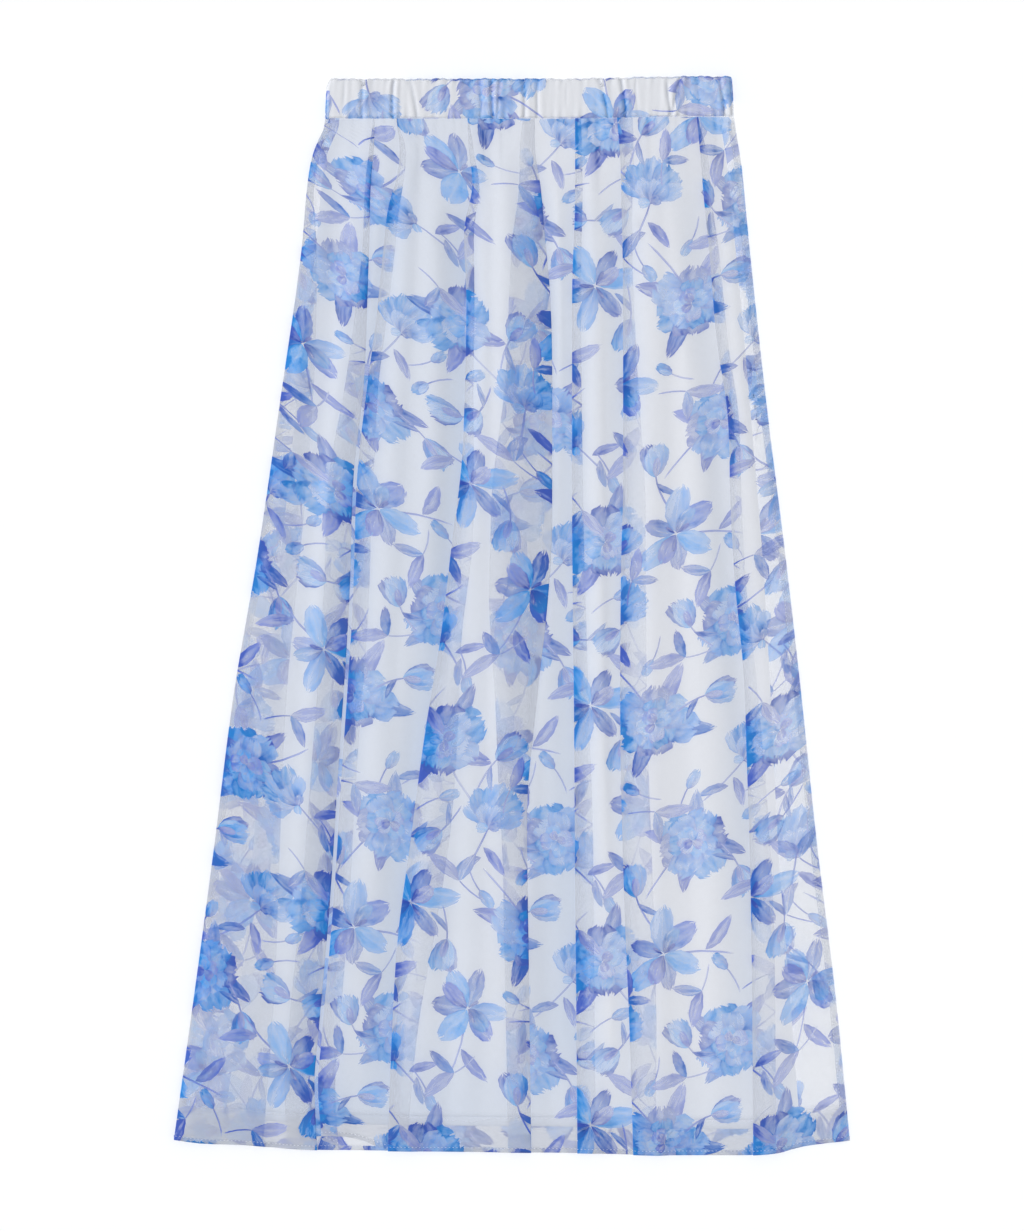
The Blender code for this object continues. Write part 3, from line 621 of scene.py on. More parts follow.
def layOn(grid, s, v, keys="xyz"):  # where points of the flat cloth come to lie
    out = np.empty((len(s), len(keys)))
    rows = np.clip(np.searchsorted(grid["v"], v, side="right") - 1, 0, len(grid["v"]) - 2)
    t = np.clip((v - grid["v"][rows]) / (grid["v"][rows + 1] - grid["v"][rows]), 0, 1)
    for start in range(0, len(s), 4000):
        part = slice(start, start + 4000)
        r, tt = rows[part], t[part][:, None]
        across = grid["s"][r] * (1 - tt) + grid["s"][r + 1] * tt
        k = np.clip((across <= s[part][:, None]).sum(1) - 1, 0, across.shape[1] - 2)
        n = np.arange(len(k))
        f = np.clip((s[part] - across[n, k]) / (across[n, k + 1] - across[n, k]), 0, 1)
        for axis, key in enumerate(keys):
            g = grid[key]
            top = g[r, k] * (1 - f) + g[r, k + 1] * f
            foot = g[r + 1, k] * (1 - f) + g[r + 1, k + 1] * f
            out[part, axis] = top * (1 - tt[:, 0]) + foot * tt[:, 0]
    return out


# the printed flowers: every petal, leaf and stem is one brush stroke

inks = {  # the colour of many layers, 0 to 255, and how much of it one layer has
    "sky": (8, 144, 218, 0.50),
    "pale": (12, 146, 228, 0.33),
    "azure": (4, 114, 198, 0.62),
    "deep": (2, 60, 160, 0.84),
    "violet": (58, 86, 176, 0.58),
    "mist": (72, 104, 203, 0.44),
}
shapes = {  # where a stroke is widest, how blunt its tip is
    "petal": (0.75, 0.36), "pointed": (0.85, 0.75), "leaf": (0.9, 1.0), "cup": (0.55, 0.42),
    "stem": (0.12, 0.12), "bud": (0.6, 0.6), "spike": (1.1, 0.6),
}

upright = math.pi / 2


def linear(value):
    value /= 255
    return value / 12.92 if value <= 0.04045 else ((value + 0.055) / 1.055) ** 2.4


def stroke(base, heading, long, wide, shape, baseInk, tipInk, bend=0.0, ragged=0.0, points=6):
    return {"base": base, "heading": heading, "long": long, "wide": wide, "shape": shape,
            "inks": (baseInk, tipInk), "bend": bend, "ragged": ragged, "points": points}


def ring(count, radius, wide, shape, inkPairs, dice, squash=1.0, turn=0.0, ragged=0.0):
    strokes = []
    for i in range(count):
        angle = turn + 2 * math.pi * i / count + dice.uniform(-0.14, 0.14)
        tip = radius * dice.uniform(0.86, 1.12) * complex(math.cos(angle), squash * math.sin(angle))
        strokes.append(stroke(0.04 * tip, math.atan2(tip.imag, tip.real), abs(tip),
                              wide * dice.uniform(0.85, 1.15) * (0.6 + 0.4 * abs(tip) / radius), shape,
                              *inkPairs[i % len(inkPairs)], dice.uniform(-0.14, 0.14), ragged, 6))
    return strokes


def rings(size, dice, *rows):  # rings of petals, the outer ones first
    strokes = []
    for count, radius, wide, shape, inkNames, *rest in rows:
        strokes += ring(count, radius * size, wide * size, shape, pairs(inkNames), dice, *rest)
    return strokes


def pairs(inkNames):  # for each stroke in turn, the inks at its base and at its tip
    return [pair.split() for pair in inkNames.split(", ")]


def stem(start, heading, long, bend, wide=1.7):
    return stroke(start, heading, long, wide, "stem", "violet", "mist", bend, 0.0, 5)


def peony(size, dice):
    strokes = [stem(-0.2j * size, 0.2 - upright, 1.7 * size, 0.16)]
    leaves = pairs("violet mist, mist violet, azure violet, violet azure")
    for angle, inkPair in zip((-2.3, -0.8, 0.9, 2.5), leaves):
        long = size * dice.uniform(1.15, 1.4)
        strokes.append(stroke(0.2 * size * complex(math.cos(angle), math.sin(angle)), angle, long,
                              0.44 * size, "leaf", *inkPair, dice.uniform(-0.2, 0.2), 0.02, 6))
    return strokes + rings(
        size, dice,
        (6, 1.0, 0.92, "petal", "azure sky, azure violet, deep pale", 0.86, 0.2, 0.08),
        (5, 0.74, 0.7, "petal", "violet pale, azure sky", 0.84, 0.7, 0.08),
        (4, 0.48, 0.5, "cup", "sky pale, pale mist", 0.84, 0.1, 0.08),
        (3, 0.3, 0.27, "cup", "violet mist, azure pale", 0.8, 0.5))


def lily(size, dice):
    leaf = 0.9j * size - 0.35 * size
    strokes = [stem(0.1j * size, upright + 0.5, 1.5 * size, -0.22),
               stroke(leaf, 2.6, 0.95 * size, 0.32 * size, "leaf", "violet", "mist", 0.2)]
    return strokes + rings(
        size, dice,
        (3, 0.95, 0.5, "pointed", "azure violet, azure mist", 0.92, 0.55, 0.03),
        (3, 1.08, 0.56, "pointed", "sky pale, azure pale", 0.92, 1.6, 0.03),
        (2, 0.7, 0.4, "pointed", "deep sky, violet mist", 0.9, 2.9),
        (3, 0.36, 0.1, "spike", "deep violet", 0.9, 0.3))


def fanFlower(size, dice):
    strokes = [stem(0j, -upright - 0.15, 1.5 * size, -0.14),
               stroke(-0.75j * size, -2.6, 0.8 * size, 0.28 * size, "leaf", "violet", "azure", 0.22),
               stroke(-0.5j * size, -0.5, 0.85 * size, 0.3 * size, "leaf", "violet", "mist", -0.2)]
    outer = pairs("azure pale, violet sky, azure sky")
    for i, lean in enumerate((-1.25, -0.82, -0.4, 0.0, 0.42, 0.84, 1.26)):
        long = size * (1.08 - 0.16 * abs(lean)) * dice.uniform(0.9, 1.08)
        strokes.append(stroke(0.1j * size, upright - lean, long, 0.48 * size, "spike",
                              *outer[i % 3], 0.1 * lean, 0.07, 6))
    for i, lean in enumerate((-0.6, -0.15, 0.3, 0.72)):
        long = 0.68 * size * dice.uniform(0.9, 1.1)
        strokes.append(stroke(-0.05j * size, upright - lean, long, 0.4 * size, "spike",
                              "deep" if i % 2 else "violet", "pale", 0.1 * lean, 0.07, 6))
    return strokes + rings(size, dice, (2, 0.28, 0.26, "cup", "violet azure, sky pale", 0.8, 0.4))


def tulip(size, dice):
    strokes = [stem(-0.8j * size, 0.1 - upright, 1.9 * size, 0.2),
               stroke(-1.2j * size, -0.9, 1.5 * size, 0.4 * size, "leaf", "violet", "azure", 0.25, 0, 5)]
    for lean, inkPair in zip((-0.36, 0.36, 0.0), pairs("azure violet, violet sky, azure pale")):
        strokes.append(stroke(-0.8j * size, upright - lean, 1.9 * size * dice.uniform(0.92, 1.04),
                              1.0 * size, "cup", *inkPair, 0.25 * lean, 0.08, 6))
    strokes.append(stroke(-0.85j * size, upright + 0.28, 1.6 * size * dice.uniform(0.92, 1.04),
                          0.8 * size, "cup", "sky", "pale", -0.08, 0.05, 6))
    heart = -0.86j * size
    strokes.append(stroke(heart, upright - 0.12, 1.15 * size, 0.5 * size, "pointed", "violet", "mist"))
    return strokes


def bud(size, dice):
    foot = -0.9j * size
    return [stem(-0.8j * size, -upright, 2.6 * size, dice.choice((-0.25, 0.25)), 1.4),
            stroke(foot, upright, 2.0 * size, 1.2 * size, "bud", "violet", "sky", 0, 0.05, 6),
            stroke(foot, upright + 0.22, 1.5 * size, 0.66 * size, "bud", "azure", "pale", 0, 0, 5)]


def leafPair(size, dice):  # takes no draws
    left, right = upright + 0.4, upright - 0.7
    return [stem(0j, -1.2, 1.2 * size, 0.2, 1.4),
            stroke(0j, left, 1.7 * size, 0.66 * size, "leaf", "violet", "mist", 0.16, 0.01, 6),
            stroke(0j, right, 1.35 * size, 0.54 * size, "leaf", "azure", "violet", -0.16, 0.01, 6)]


bouquet = {  # one repeat of the print; the next column of repeats sits half a repeat lower
    "wide": 224.0, "tall": 350.0, "bow": 0.00026, "spare": 90,
    "shift": {"back": complex(87, -61), "band": complex(-58, 88), "left": complex(140, 20),
              "right": complex(-60, 90)},
    "motif": [peony, lily, fanFlower, peony, lily, peony, fanFlower, lily, peony, fanFlower,
              *[tulip] * 8, *[bud] * 9, *[leafPair] * 8],
    "across": [40, 141, 92, 194, 29, 130, 207, 77, 167, 15,
               97, 152, 57, 183, 7, 117, 209, 44,
               189, 55, 123, 92, 165, 114, 46, 216, 11,
               70, 172, 4, 106, 154, 20, 134, 66],
    "down": [40, 37, 108, 114, 176, 194, 231, 260, 295, 310,
             42, 106, 216, 172, 119, 326, 330, 121,
             48, 84, 147, 167, 244, 249, 341, 275, 73,
             154, 70, 238, 75, 141, 13, 268, 315],
    "size": [35, 37, 34, 31, 36, 35, 32, 36, 32, 30,
             15, 14, 15, 14, 15, 15, 14, 14,
             9, 9, 8, 9, 9, 8, 9, 9, 8,
             20, 19, 20, 17, 19, 17, 19, 20],
    "turn": [20, 250, 350, 100, 40, 200, 330, 150, 300, 60,
             320, 30, 170, 280, 80, 10, 200, 130,
             40, 290, 150, 220, 330, 60, 200, 120, 300,
             20, 130, 260, 320, 70, 190, 240, 100],
}


def printOver(area):  # all the strokes that may fall on (left, right, top, foot) of the flat cloth
    left, right, top, foot = area
    sprig = []
    for n, motif in enumerate(bouquet["motif"]):
        dice = Random(41 + n)
        turn = math.radians(bouquet["turn"][n])
        spot = complex(bouquet["across"][n], -bouquet["down"][n])
        for one in motif(bouquet["size"][n], dice):
            one["base"] = spot + one["base"] * complex(math.cos(turn), math.sin(turn))
            one["heading"] += turn
            one["seed"] = dice.uniform(0, 50)
            sprig.append(one)
    strokes = []
    for column in range(math.floor(left / bouquet["wide"]) - 1, math.ceil(right / bouquet["wide"]) + 1):
        for row in range(-2, math.ceil(foot / bouquet["tall"]) + 2):
            drop = row * bouquet["tall"] + (column % 2) * bouquet["tall"] / 2
            shift = complex(column * bouquet["wide"], -drop)
            for one in sprig:
                base = one["base"] + shift
                reach = 1.4 * one["long"]
                bow = bouquet["bow"] * base.real ** 2
                beside = left - reach < base.real < right + reach
                if beside and top - reach - bow < -base.imag < foot + reach + bouquet["spare"]:
                    strokes.append({**one, "base": base})
    return strokes


def profileOf(one):  # the two exponents of a stroke's outline, and how high the outline comes
    swell, blunt = shapes[one["shape"]]
    peak = swell / (swell + blunt)
    return swell, blunt, peak ** swell * (1 - peak) ** blunt


def strokePoints(one):  # its outline, anticlockwise, as complex numbers with y up
    swell, blunt, highest = profileOf(one)
    dice = Random(round(1000 * one["seed"]))
    turned = complex(math.cos(one["heading"]), math.sin(one["heading"]))
    right, left = [], []
    n = one["points"]
    for i in range(n):
        t = 0.5 - 0.5 * math.cos(math.pi * (i + 0.35) / (n - 0.3))
        half = 0.5 * one["wide"] * t ** swell * (1 - t) ** blunt / highest
        for edge, sign in ((right, -1), (left, 1)):
            along = t + (one["ragged"] * dice.uniform(-1, 1) if t > 0.45 else 0)
            across = sign * half + one["bend"] * one["long"] * t * t
            edge.append(one["base"] + turned * complex(one["long"] * along, across))
    if one["shape"] == "stem":
        return right + left[::-1]
    tip = one["base"] + turned * one["long"] * complex(1, one["bend"])
    return [one["base"], *right, tip, *left[::-1]]


def strokeTable(strokes):
    return np.array([[one["base"].real, one["base"].imag, one["heading"], one["long"], one["wide"],
                      one["bend"], *profileOf(one), one["seed"],
                      *inked(one["inks"][0]), *inked(one["inks"][1])] for one in strokes])


def inked(name):
    r, g, b, share = inks[name]
    return linear(r), linear(g), linear(b), share


def alongStroke(table, which, u, w):  # how far along and across its stroke each point is, and its ink
    row = table[which]
    x, y, heading, long, wide, bend, swell, blunt, highest, seed = row.T[:10]
    cos, sin = np.cos(heading), np.sin(heading)
    along = ((u - x) * cos + (w - y) * sin) / long
    across = -(u - x) * sin + (w - y) * cos - bend * long * along * along
    t = np.clip(along, 0.02, 0.98)
    half = 0.5 * wide * t ** swell * (1 - t) ** blunt / highest
    share = np.clip(along, 0, 1)[:, None]
    ink = row[:, 10:14] * (1 - share) + row[:, 14:] * share
    ink[:, 3] *= 1 + 0.2 * np.sin(seed * 9.7)  # every stroke has its own load of ink
    return np.stack([along, np.clip(across / np.maximum(half, 0.15), -1, 1), seed], axis=1), ink


# cutting: the flat cloth is cut along every stroke, fold and edge, then laid in place

def rimOf(s, v):  # the outline of the flat cloth
    rows, columns = s.shape
    rim = [(s[-1, k], v[-1]) for k in range(columns)]
    rim += [(s[r, -1], v[r]) for r in range(rows - 2, -1, -1)]
    rim += [(s[0, k], v[0]) for k in range(columns - 2, -1, -1)]
    return rim + [(s[r, 0], v[r]) for r in range(1, rows - 1)]


def cutCloth(name, grid, bow, offset=0j):
    s, v = grid["s"], grid["v"]
    points, edges, faces, rowLines = [], [], [], {}

    def add(pairs):
        first = len(points)
        points.extend(pairs)
        return list(range(first, len(points)))

    faces.append(add(orient(rimOf(s, v))))
    for k in range(1, s.shape[1] - 1):
        kept = range(len(v))
        if "sparse" in grid and k not in grid["sparse"]:
            kept = kept[:np.searchsorted(v, finePart["below"])]
        line = add([(s[r, k], v[r]) for r in kept])
        if k in grid["foldColumns"]:
            edges += list(zip(line, line[1:]))
        for r in grid.get("creaseRows", ()):
            if r in kept:
                rowLines.setdefault(r, []).append(line[r])
    for line in rowLines.values():
        edges += list(zip(line, line[1:]))
    area = (s.min() - offset.real, s.max() - offset.real, v[0] + offset.imag, v[-1] + offset.imag)
    strokes = []
    for one in printOver(area):
        one["base"] += offset
        loop = [(p.real, -p.imag - bow * p.real ** 2) for p in strokePoints(one)]
        if max(y for _, y in loop) > v[0] and min(y for _, y in loop) < v[-1]:
            faces.append(add(orient(loop)))
            strokes.append(one)
    made = delaunay_2d_cdt(points, edges, faces, 0, 1e-5, True)
    triangles, painted, beneath = [], [], []
    for triangle, owners in zip(made[2], made[5]):
        if 0 in owners and len(triangle) == 3:
            triangles.append(triangle[::-1])
            layers = sorted(owners)
            painted.append(layers[-1])
            beneath.append(layers[-2] if len(layers) > 1 else 0)
    used, corner = np.unique(np.array(triangles), return_inverse=True)
    flat = np.array([tuple(p) for p in made[0]])[used]
    corner = corner.reshape(-1)
    piece = meshPiece(name, (layOn(grid, *flat.T) * mm).tolist(), corner.reshape(-1, 3).tolist())
    u, w = flat[corner, 0], -(flat[corner, 1] + bow * flat[corner, 0] ** 2)
    paint(piece.data, strokeTable(strokes), u, w, painted, beneath)
    for mark in ("pressed", "cover"):
        if mark in grid:
            put(piece.data, mark, "FLOAT", layOn(grid, *flat.T, [mark])[corner, 0])
    flatMap(piece.data, flat[corner], s.min(), s.max(), v[0], v[-1])
    print(name, len(triangles), "triangles,", len(strokes), "strokes")
    return piece


def paint(mesh, table, u, w, painted, beneath):  # each corner's ink, and where on its stroke it lies
    for kind, owners in (("ink", painted), ("inkBeneath", beneath)):
        which = np.repeat(owners, 3)
        on = which > 0
        trail = np.zeros((len(u), 3))
        ink = np.tile([1.0, 1.0, 1.0, 0.0], (len(u), 1))
        trail[on], ink[on] = alongStroke(table, which[on] - 1, u[on], w[on])
        put(mesh, kind, "FLOAT_COLOR", ink)
        if kind == "ink":
            put(mesh, "trail", "FLOAT_VECTOR", trail)


def orient(loop):
    turning = sum(a[0] * b[1] - b[0] * a[1] for a, b in zip(loop, loop[1:] + loop[:1]))
    return loop if turning > 0 else loop[::-1]


def put(mesh, name, kind, values, domain="CORNER"):
    made = mesh.attributes.new(name, kind, domain)
    field = {"FLOAT_COLOR": "color", "FLOAT_VECTOR": "vector", "FLOAT": "value"}[kind]
    made.data.foreach_set(field, np.ascontiguousarray(values, np.float32).ravel())


def flatMap(mesh, flat, left, right, top, foot):  # the unfolded cloth fills the square, but for a margin
    margin = 0.004
    uv = np.stack([(flat[:, 0] - left) / (right - left), (foot - flat[:, 1]) / (foot - top)], axis=1)
    layer = mesh.uv_layers.new(name="OFBake")
    layer.uv.foreach_set("vector", np.float32(margin + (1 - 2 * margin) * uv).ravel())


# materials

def newNode(tree, kind, **values):  # each value is a property of the node, or else one of its inputs
    node = tree.nodes.new(kind)
    for key, value in values.items():
        if hasattr(node, key):
            setattr(node, key, value)
        else:
            node.inputs[key.replace("_", " ")].default_value = value
    return node


def newGroup(name, sockets):
    group = bpy.data.node_groups.new(name, "ShaderNodeTree")
    for label, way, kind, value in sockets:
        socket = group.interface.new_socket(label, in_out=way, socket_type="NodeSocket" + kind)
        if way == "INPUT" and value is not None:
            socket.default_value = value
    return group, group.nodes.new("NodeGroupInput"), group.nodes.new("NodeGroupOutput")


def feed(tree, socket, value):  # value is another node's output, or a constant
    if hasattr(value, "is_output"):
        tree.links.new(value, socket)
    elif value is not None:
        socket.default_value = value


def mathNode(tree, operation, a, b=None, clamp=False):
    node = newNode(tree, "ShaderNodeMath", operation=operation, use_clamp=clamp)
    feed(tree, node.inputs[0], a)
    feed(tree, node.inputs[1], b)
    return node.outputs[0]


def sumsFor(tree):  # add, less and times for one tree
    return [partial(mathNode, tree, operation) for operation in ("ADD", "SUBTRACT", "MULTIPLY")]


def mixColour(tree, share, a, b, blend="MIX"):
    node = newNode(tree, "ShaderNodeMix", data_type="RGBA", blend_type=blend)
    for index, value in ((0, share), (6, a), (7, b)):
        feed(tree, node.inputs[index], value)
    return node.outputs[2]


brushMarks = {  # noise stretched along and across a stroke and by its seed; its span and what that becomes
    "streaks": ((1.7, 2.0, 1.0), (0.34, 0.66, 0.60, 1.18), {"Detail": 3.0, "Roughness": 0.6}),
    "blots": ((0.9, 0.62, 1.3), (0.40, 0.60, 0.74, 1.14),
              {"Detail": 4.0, "Roughness": 0.65, "Distortion": 1.2}),
    "wobble": ((7.0, 0.6, 3.0), (0.30, 0.70, -0.07, 0.05), {"Detail": 2.0}),
    "comb": ((0.7, 4.6, 2.1), (0.32, 0.68, -0.05, 0.15), {"Detail": 2.0}),
}
brushEdge = {  # ink gathers in a rim along the sides and the tip, and leaves a pale vein in the middle
    "wide": 1.06, "sharp": 11.0, "tip": 0.02, "tipSharp": 22.0, "blotted": 1.45, "rimLoad": 0.45,
    "veinThin": 9.0, "veinLoad": 0.14, "side": 0.90, "sideSharp": 26.0, "wholeFrom": 0.66,
    "wholeOver": 7.0, "torn": 0.98, "tornSharp": 30.0, "tint": 0.6, "tinted": (0.09, 0.09, 0.42, 1),
}


def makeBrushwork():  # a stroke's colour and strength, from where a point is along and across it
    group, given, out = newGroup("brushwork", [
        ("Ink", "INPUT", "Color", (0.3, 0.5, 0.9, 1)), ("Load", "INPUT", "Float", 0.5),
        ("Ink Beneath", "INPUT", "Color", (0.3, 0.5, 0.9, 1)), ("Load Beneath", "INPUT", "Float", 0.0),
        ("Trail", "INPUT", "Vector", None), ("Colour", "OUTPUT", "Color", None),
        ("Strength", "OUTPUT", "Float", None)])
    add, less, times = sumsFor(group)
    edge = brushEdge
    split = newNode(group, "ShaderNodeSeparateXYZ")
    feed(group, split.inputs[0], given.outputs["Trail"])
    along, across, seed = split.outputs

    def noiseOver(stretch, span, settings):
        place = newNode(group, "ShaderNodeCombineXYZ")
        for socket, value, factor in zip(place.inputs, (along, across, seed), stretch):
            feed(group, socket, times(value, factor))
        noise = newNode(group, "ShaderNodeTexNoise", Scale=1.0, **settings)
        feed(group, noise.inputs["Vector"], place.outputs[0])
        spread = newNode(group, "ShaderNodeMapRange")
        for socket, value in zip(spread.inputs, (noise.outputs[0], *span)):
            feed(group, socket, value)
        return spread.outputs[0]

    streaks, blots, wobble, comb = (noiseOver(*mark) for mark in brushMarks.values())
    outward = mathNode(group, "ABSOLUTE", across)
    rim = mathNode(group, "POWER", times(outward, edge["wide"], True), edge["sharp"])
    reach = add(along, comb)
    tip = mathNode(group, "POWER", add(reach, edge["tip"], True), edge["tipSharp"])
    rim = times(mathNode(group, "MAXIMUM", rim, tip), less(edge["blotted"], blots))
    vein = less(1.0, times(outward, edge["veinThin"]), True)
    accent = less(times(rim, edge["rimLoad"]), times(vein, edge["veinLoad"]))
    load = times(times(given.outputs["Load"], streaks), blots)
    load = add(load, times(accent, given.outputs["Load"]), True)
    # beyond a wobbling line close to the polygon's side, what lies beneath shows
    past = times(less(add(outward, wobble), edge["side"]), edge["sideSharp"], True)
    whole = times(less(along, edge["wholeFrom"]), edge["wholeOver"], True)
    torn = times(less(reach, edge["torn"]), edge["tornSharp"], True)
    past = mathNode(group, "MAXIMUM", times(past, less(1.0, whole)), torn)
    colour = mixColour(group, times(rim, edge["tint"], True), given.outputs["Ink"], edge["tinted"])
    colour = mixColour(group, past, colour, given.outputs["Ink Beneath"])
    kept = times(load, less(1.0, past))
    below = times(times(given.outputs["Load Beneath"], past), blots)
    feed(group, out.inputs["Colour"], colour)
    feed(group, out.inputs["Strength"], add(kept, below, True))
    return group


def makeWeave():  # fine crinkled threads, as a height and as a tone
    group, given, out = newGroup("weave", [
        ("Threads", "INPUT", "Float", 900.0), ("Crinkle", "INPUT", "Float", 220.0),
        ("Height", "OUTPUT", "Float", None), ("Tone", "OUTPUT", "Float", None)])
    add, _, times = sumsFor(group)
    place = newNode(group, "ShaderNodeTexCoord")
    parts = []
    for scale, share in (("Threads", 0.4), ("Crinkle", 0.6)):
        noise = newNode(group, "ShaderNodeTexNoise", Detail=2.0)
        feed(group, noise.inputs["Vector"], place.outputs["Object"])
        feed(group, noise.inputs["Scale"], given.outputs[scale])
        parts.append(times(noise.outputs[0], share))
    both = add(*parts)
    feed(group, out.inputs["Height"], both)
    feed(group, out.inputs["Tone"], both)
    return group


brushwork = makeBrushwork()
weave = makeWeave()
chiffon = {
    "white": (0.495, 0.515, 0.567, 1), "solid": 0.25, "roughness": 0.75, "bump": 0.00004, "tone": 0.05,
    "pressedInk": 0.95, "pressedCloth": 0.12, "hemCloth": 0.22, "mostInk": 0.95,
    "pooledFrom": 0.58, "pooledOver": 1.7, "pooled": 0.6, "pooledInk": (0.002, 0.03, 0.27, 1),
}
plain = {"tone": (0.12, 0.94), "shadeTint": (0.06, 0.042, 0.018)}  # the print's blue tints the painted shade


def useGroup(tree, group, **values):
    return newNode(tree, "ShaderNodeGroup", node_tree=group, **values)


def attribute(tree, name):
    return newNode(tree, "ShaderNodeAttribute", attribute_name=name).outputs


def newMaterial(name, roughness, sheen):
    material = bpy.data.materials.new(name)
    material.use_nodes = True
    shader = material.node_tree.nodes["Principled BSDF"]
    for label, value in (("Roughness", roughness), ("Sheen Weight", sheen), ("Specular IOR Level", 0.2)):
        shader.inputs[label].default_value = value
    return material, material.node_tree, shader


def bumpFrom(tree, shader, height, distance):
    bump = newNode(tree, "ShaderNodeBump", Distance=distance, Strength=1.0)
    feed(tree, bump.inputs["Height"], height)
    feed(tree, shader.inputs["Normal"], bump.outputs[0])


def printedCloth(name):
    material, tree, shader = newMaterial(name, chiffon["roughness"], 0.1)
    add, less, times = sumsFor(tree)
    brush, threads = useGroup(tree, brushwork), useGroup(tree, weave)
    for source, suffix in (("ink", ""), ("inkBeneath", " Beneath")):
        layer = attribute(tree, source)
        feed(tree, brush.inputs["Ink" + suffix], layer["Color"])
        feed(tree, brush.inputs["Load" + suffix], layer["Alpha"])
    feed(tree, brush.inputs["Trail"], attribute(tree, "trail")["Vector"])
    pressed, cover = attribute(tree, "pressed")["Fac"], attribute(tree, "cover")["Fac"]
    # the mark strengthens the ink and thickens the cloth's ground: part print through doubled cloth, part
    # painted shade along fold edges, gathers and puckers
    strength = times(brush.outputs["Strength"], add(times(pressed, chiffon["pressedInk"]), 1.0))
    strength = mathNode(tree, "MINIMUM", strength, chiffon["mostInk"])
    ground = add(times(pressed, chiffon["pressedCloth"]), chiffon["solid"])
    ground = add(ground, times(cover, chiffon["hemCloth"]))
    ground = add(ground, times(less(threads.outputs["Tone"], 0.5), chiffon["tone"]), True)
    alpha = add(strength, times(less(1.0, strength), ground), True)
    pooled = times(less(strength, chiffon["pooledFrom"]), chiffon["pooledOver"], True)
    pooled = times(pooled, chiffon["pooled"])
    deepened = mixColour(tree, pooled, brush.outputs["Colour"], chiffon["pooledInk"])
    colour = mixColour(tree, mathNode(tree, "DIVIDE", strength, alpha), chiffon["white"], deepened)
    feed(tree, shader.inputs["Base Color"], colour)
    feed(tree, shader.inputs["Alpha"], alpha)
    bumpFrom(tree, shader, threads.outputs["Height"], chiffon["bump"])
    return material


def plainCloth(name, colour, roughness, threads, bump):
    material, tree, shader = newMaterial(name, roughness, 0.1)
    add, less, times = sumsFor(tree)
    cloth = useGroup(tree, weave, Threads=threads)
    spread, least = plain["tone"]
    shade = add(times(cloth.outputs["Tone"], spread), least, True)
    # painted shade: the mark darkens the cloth's colour, red most and blue least
    hollow = attribute(tree, "hollow")["Fac"]
    grey = newNode(tree, "ShaderNodeCombineColor")
    for socket, share in zip(grey.inputs, plain["shadeTint"]):
        feed(tree, socket, less(shade, times(hollow, share)))
    tint = mixColour(tree, 1.0, (*colour, 1), grey.outputs[0], "MULTIPLY")
    feed(tree, shader.inputs["Base Color"], tint)
    bumpFrom(tree, shader, cloth.outputs["Height"], bump)
    return material


chiffonCloth = printedCloth("printedChiffon")
liningCloth = plainCloth("liningCloth", (0.785, 0.79, 0.815), 0.7, 1200.0, 0.00003)
threadWhite = plainCloth("sewingThread", (0.80, 0.82, 0.88), 0.6, 2500.0, 0.0001)
elasticWeb = plainCloth("elasticWeb", (0.77, 0.77, 0.785), 0.8, 700.0, 0.0001)
print("materials made")


def dress(piece, material, slot, *nodes, shadow=False):  # sheer cloth lets nearly all the light through
    piece.data.materials.append(material)
    piece.visible_shadow = shadow
    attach(piece, "root")
    if nodes:
        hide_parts(*nodes)
    return piece


# the two chiffon panels

frontGrid = makeGrid(frontPanel)
backGrid = makeGrid(backPanel)
skirtFront = cutCloth("skirtFrontCloth", frontGrid, bouquet["bow"])
dress(skirtFront, chiffonCloth, "printed_chiffon", "skirt_front")
skirtBack = cutCloth("skirtBackCloth", backGrid, bouquet["bow"], bouquet["shift"]["back"])
dress(skirtBack, chiffonCloth, "printed_chiffon", "skirt_back")
print("chiffon panels laid")


# the linings

lining = {
    "top": 31.0, "hem": {"front": 870.0, "back": 878.0}, "ply": {"front": 2, "back": 1}, "columns": 200,
    "insetTop": 12.0, "insetMore": 28.0, "insetOver": (150, 750), "fold": 9.0, "creased": 0.9,
    "shade": 1.8, "shadeSide": (80, 160), "shadeFoot": (780, 90), "footShare": 0.7,
}


def liningGrid(which):
    hem, fold = lining["hem"][which], lining["fold"]
    flatRows = [lining["top"], *(b for b in clothRows if b < hem - 6), hem - 3]
    levels = [(b, b, 0.0) for b in flatRows]
    # the hem is turned under once
    levels += [(hem, hem, 0.0), (hem + 1.2, hem + 0.3, 0.3), (hem + 2.4, hem, 0.6),
               (hem + 6, hem - 3, 0.62), (hem + 6 + fold, hem - fold, 0.62)]
    grid = emptyGrid("hollow")
    for v, below, sink in levels:
        inset = lining["insetTop"] + lining["insetMore"] * eased(below, *lining["insetOver"])
        xs = np.linspace(edgeAt(below, "left") + inset, edgeAt(below, "right") - inset, lining["columns"])
        dips = valleysAt(below)
        low = [sunk(x, below, dips) for x in xs]
        level = lining["ply"][which] * stack["ply"] + stack["wall"] / 2
        turned = sink * (1 if which == "front" else -1)
        zs = [(level + puff(x, below)) * settle(below) + lining["creased"] * creased(x, below) - deep - turned
              for x, deep in zip(xs, low)]
        # painted shade: darker by how deep each valley sinks, and under more layers of cloth
        addRow(grid, v=v, s=xs, x=xs, y=[length / 2 - hemBelow(x, below) for x in xs], z=zs,
               hollow=[deep + layersOver(x, below) for x, deep in zip(xs, low)])
    return asArrays(grid)


def layersOver(x, below):  # painted shade: the left half and the foot are darker, standing in for the shade of more layers of cloth over them
    start, over = lining["shadeSide"]
    foot = lining["footShare"] * eased(below, *lining["shadeFoot"])
    return lining["shade"] * (smooth((start - x) / over) + foot)


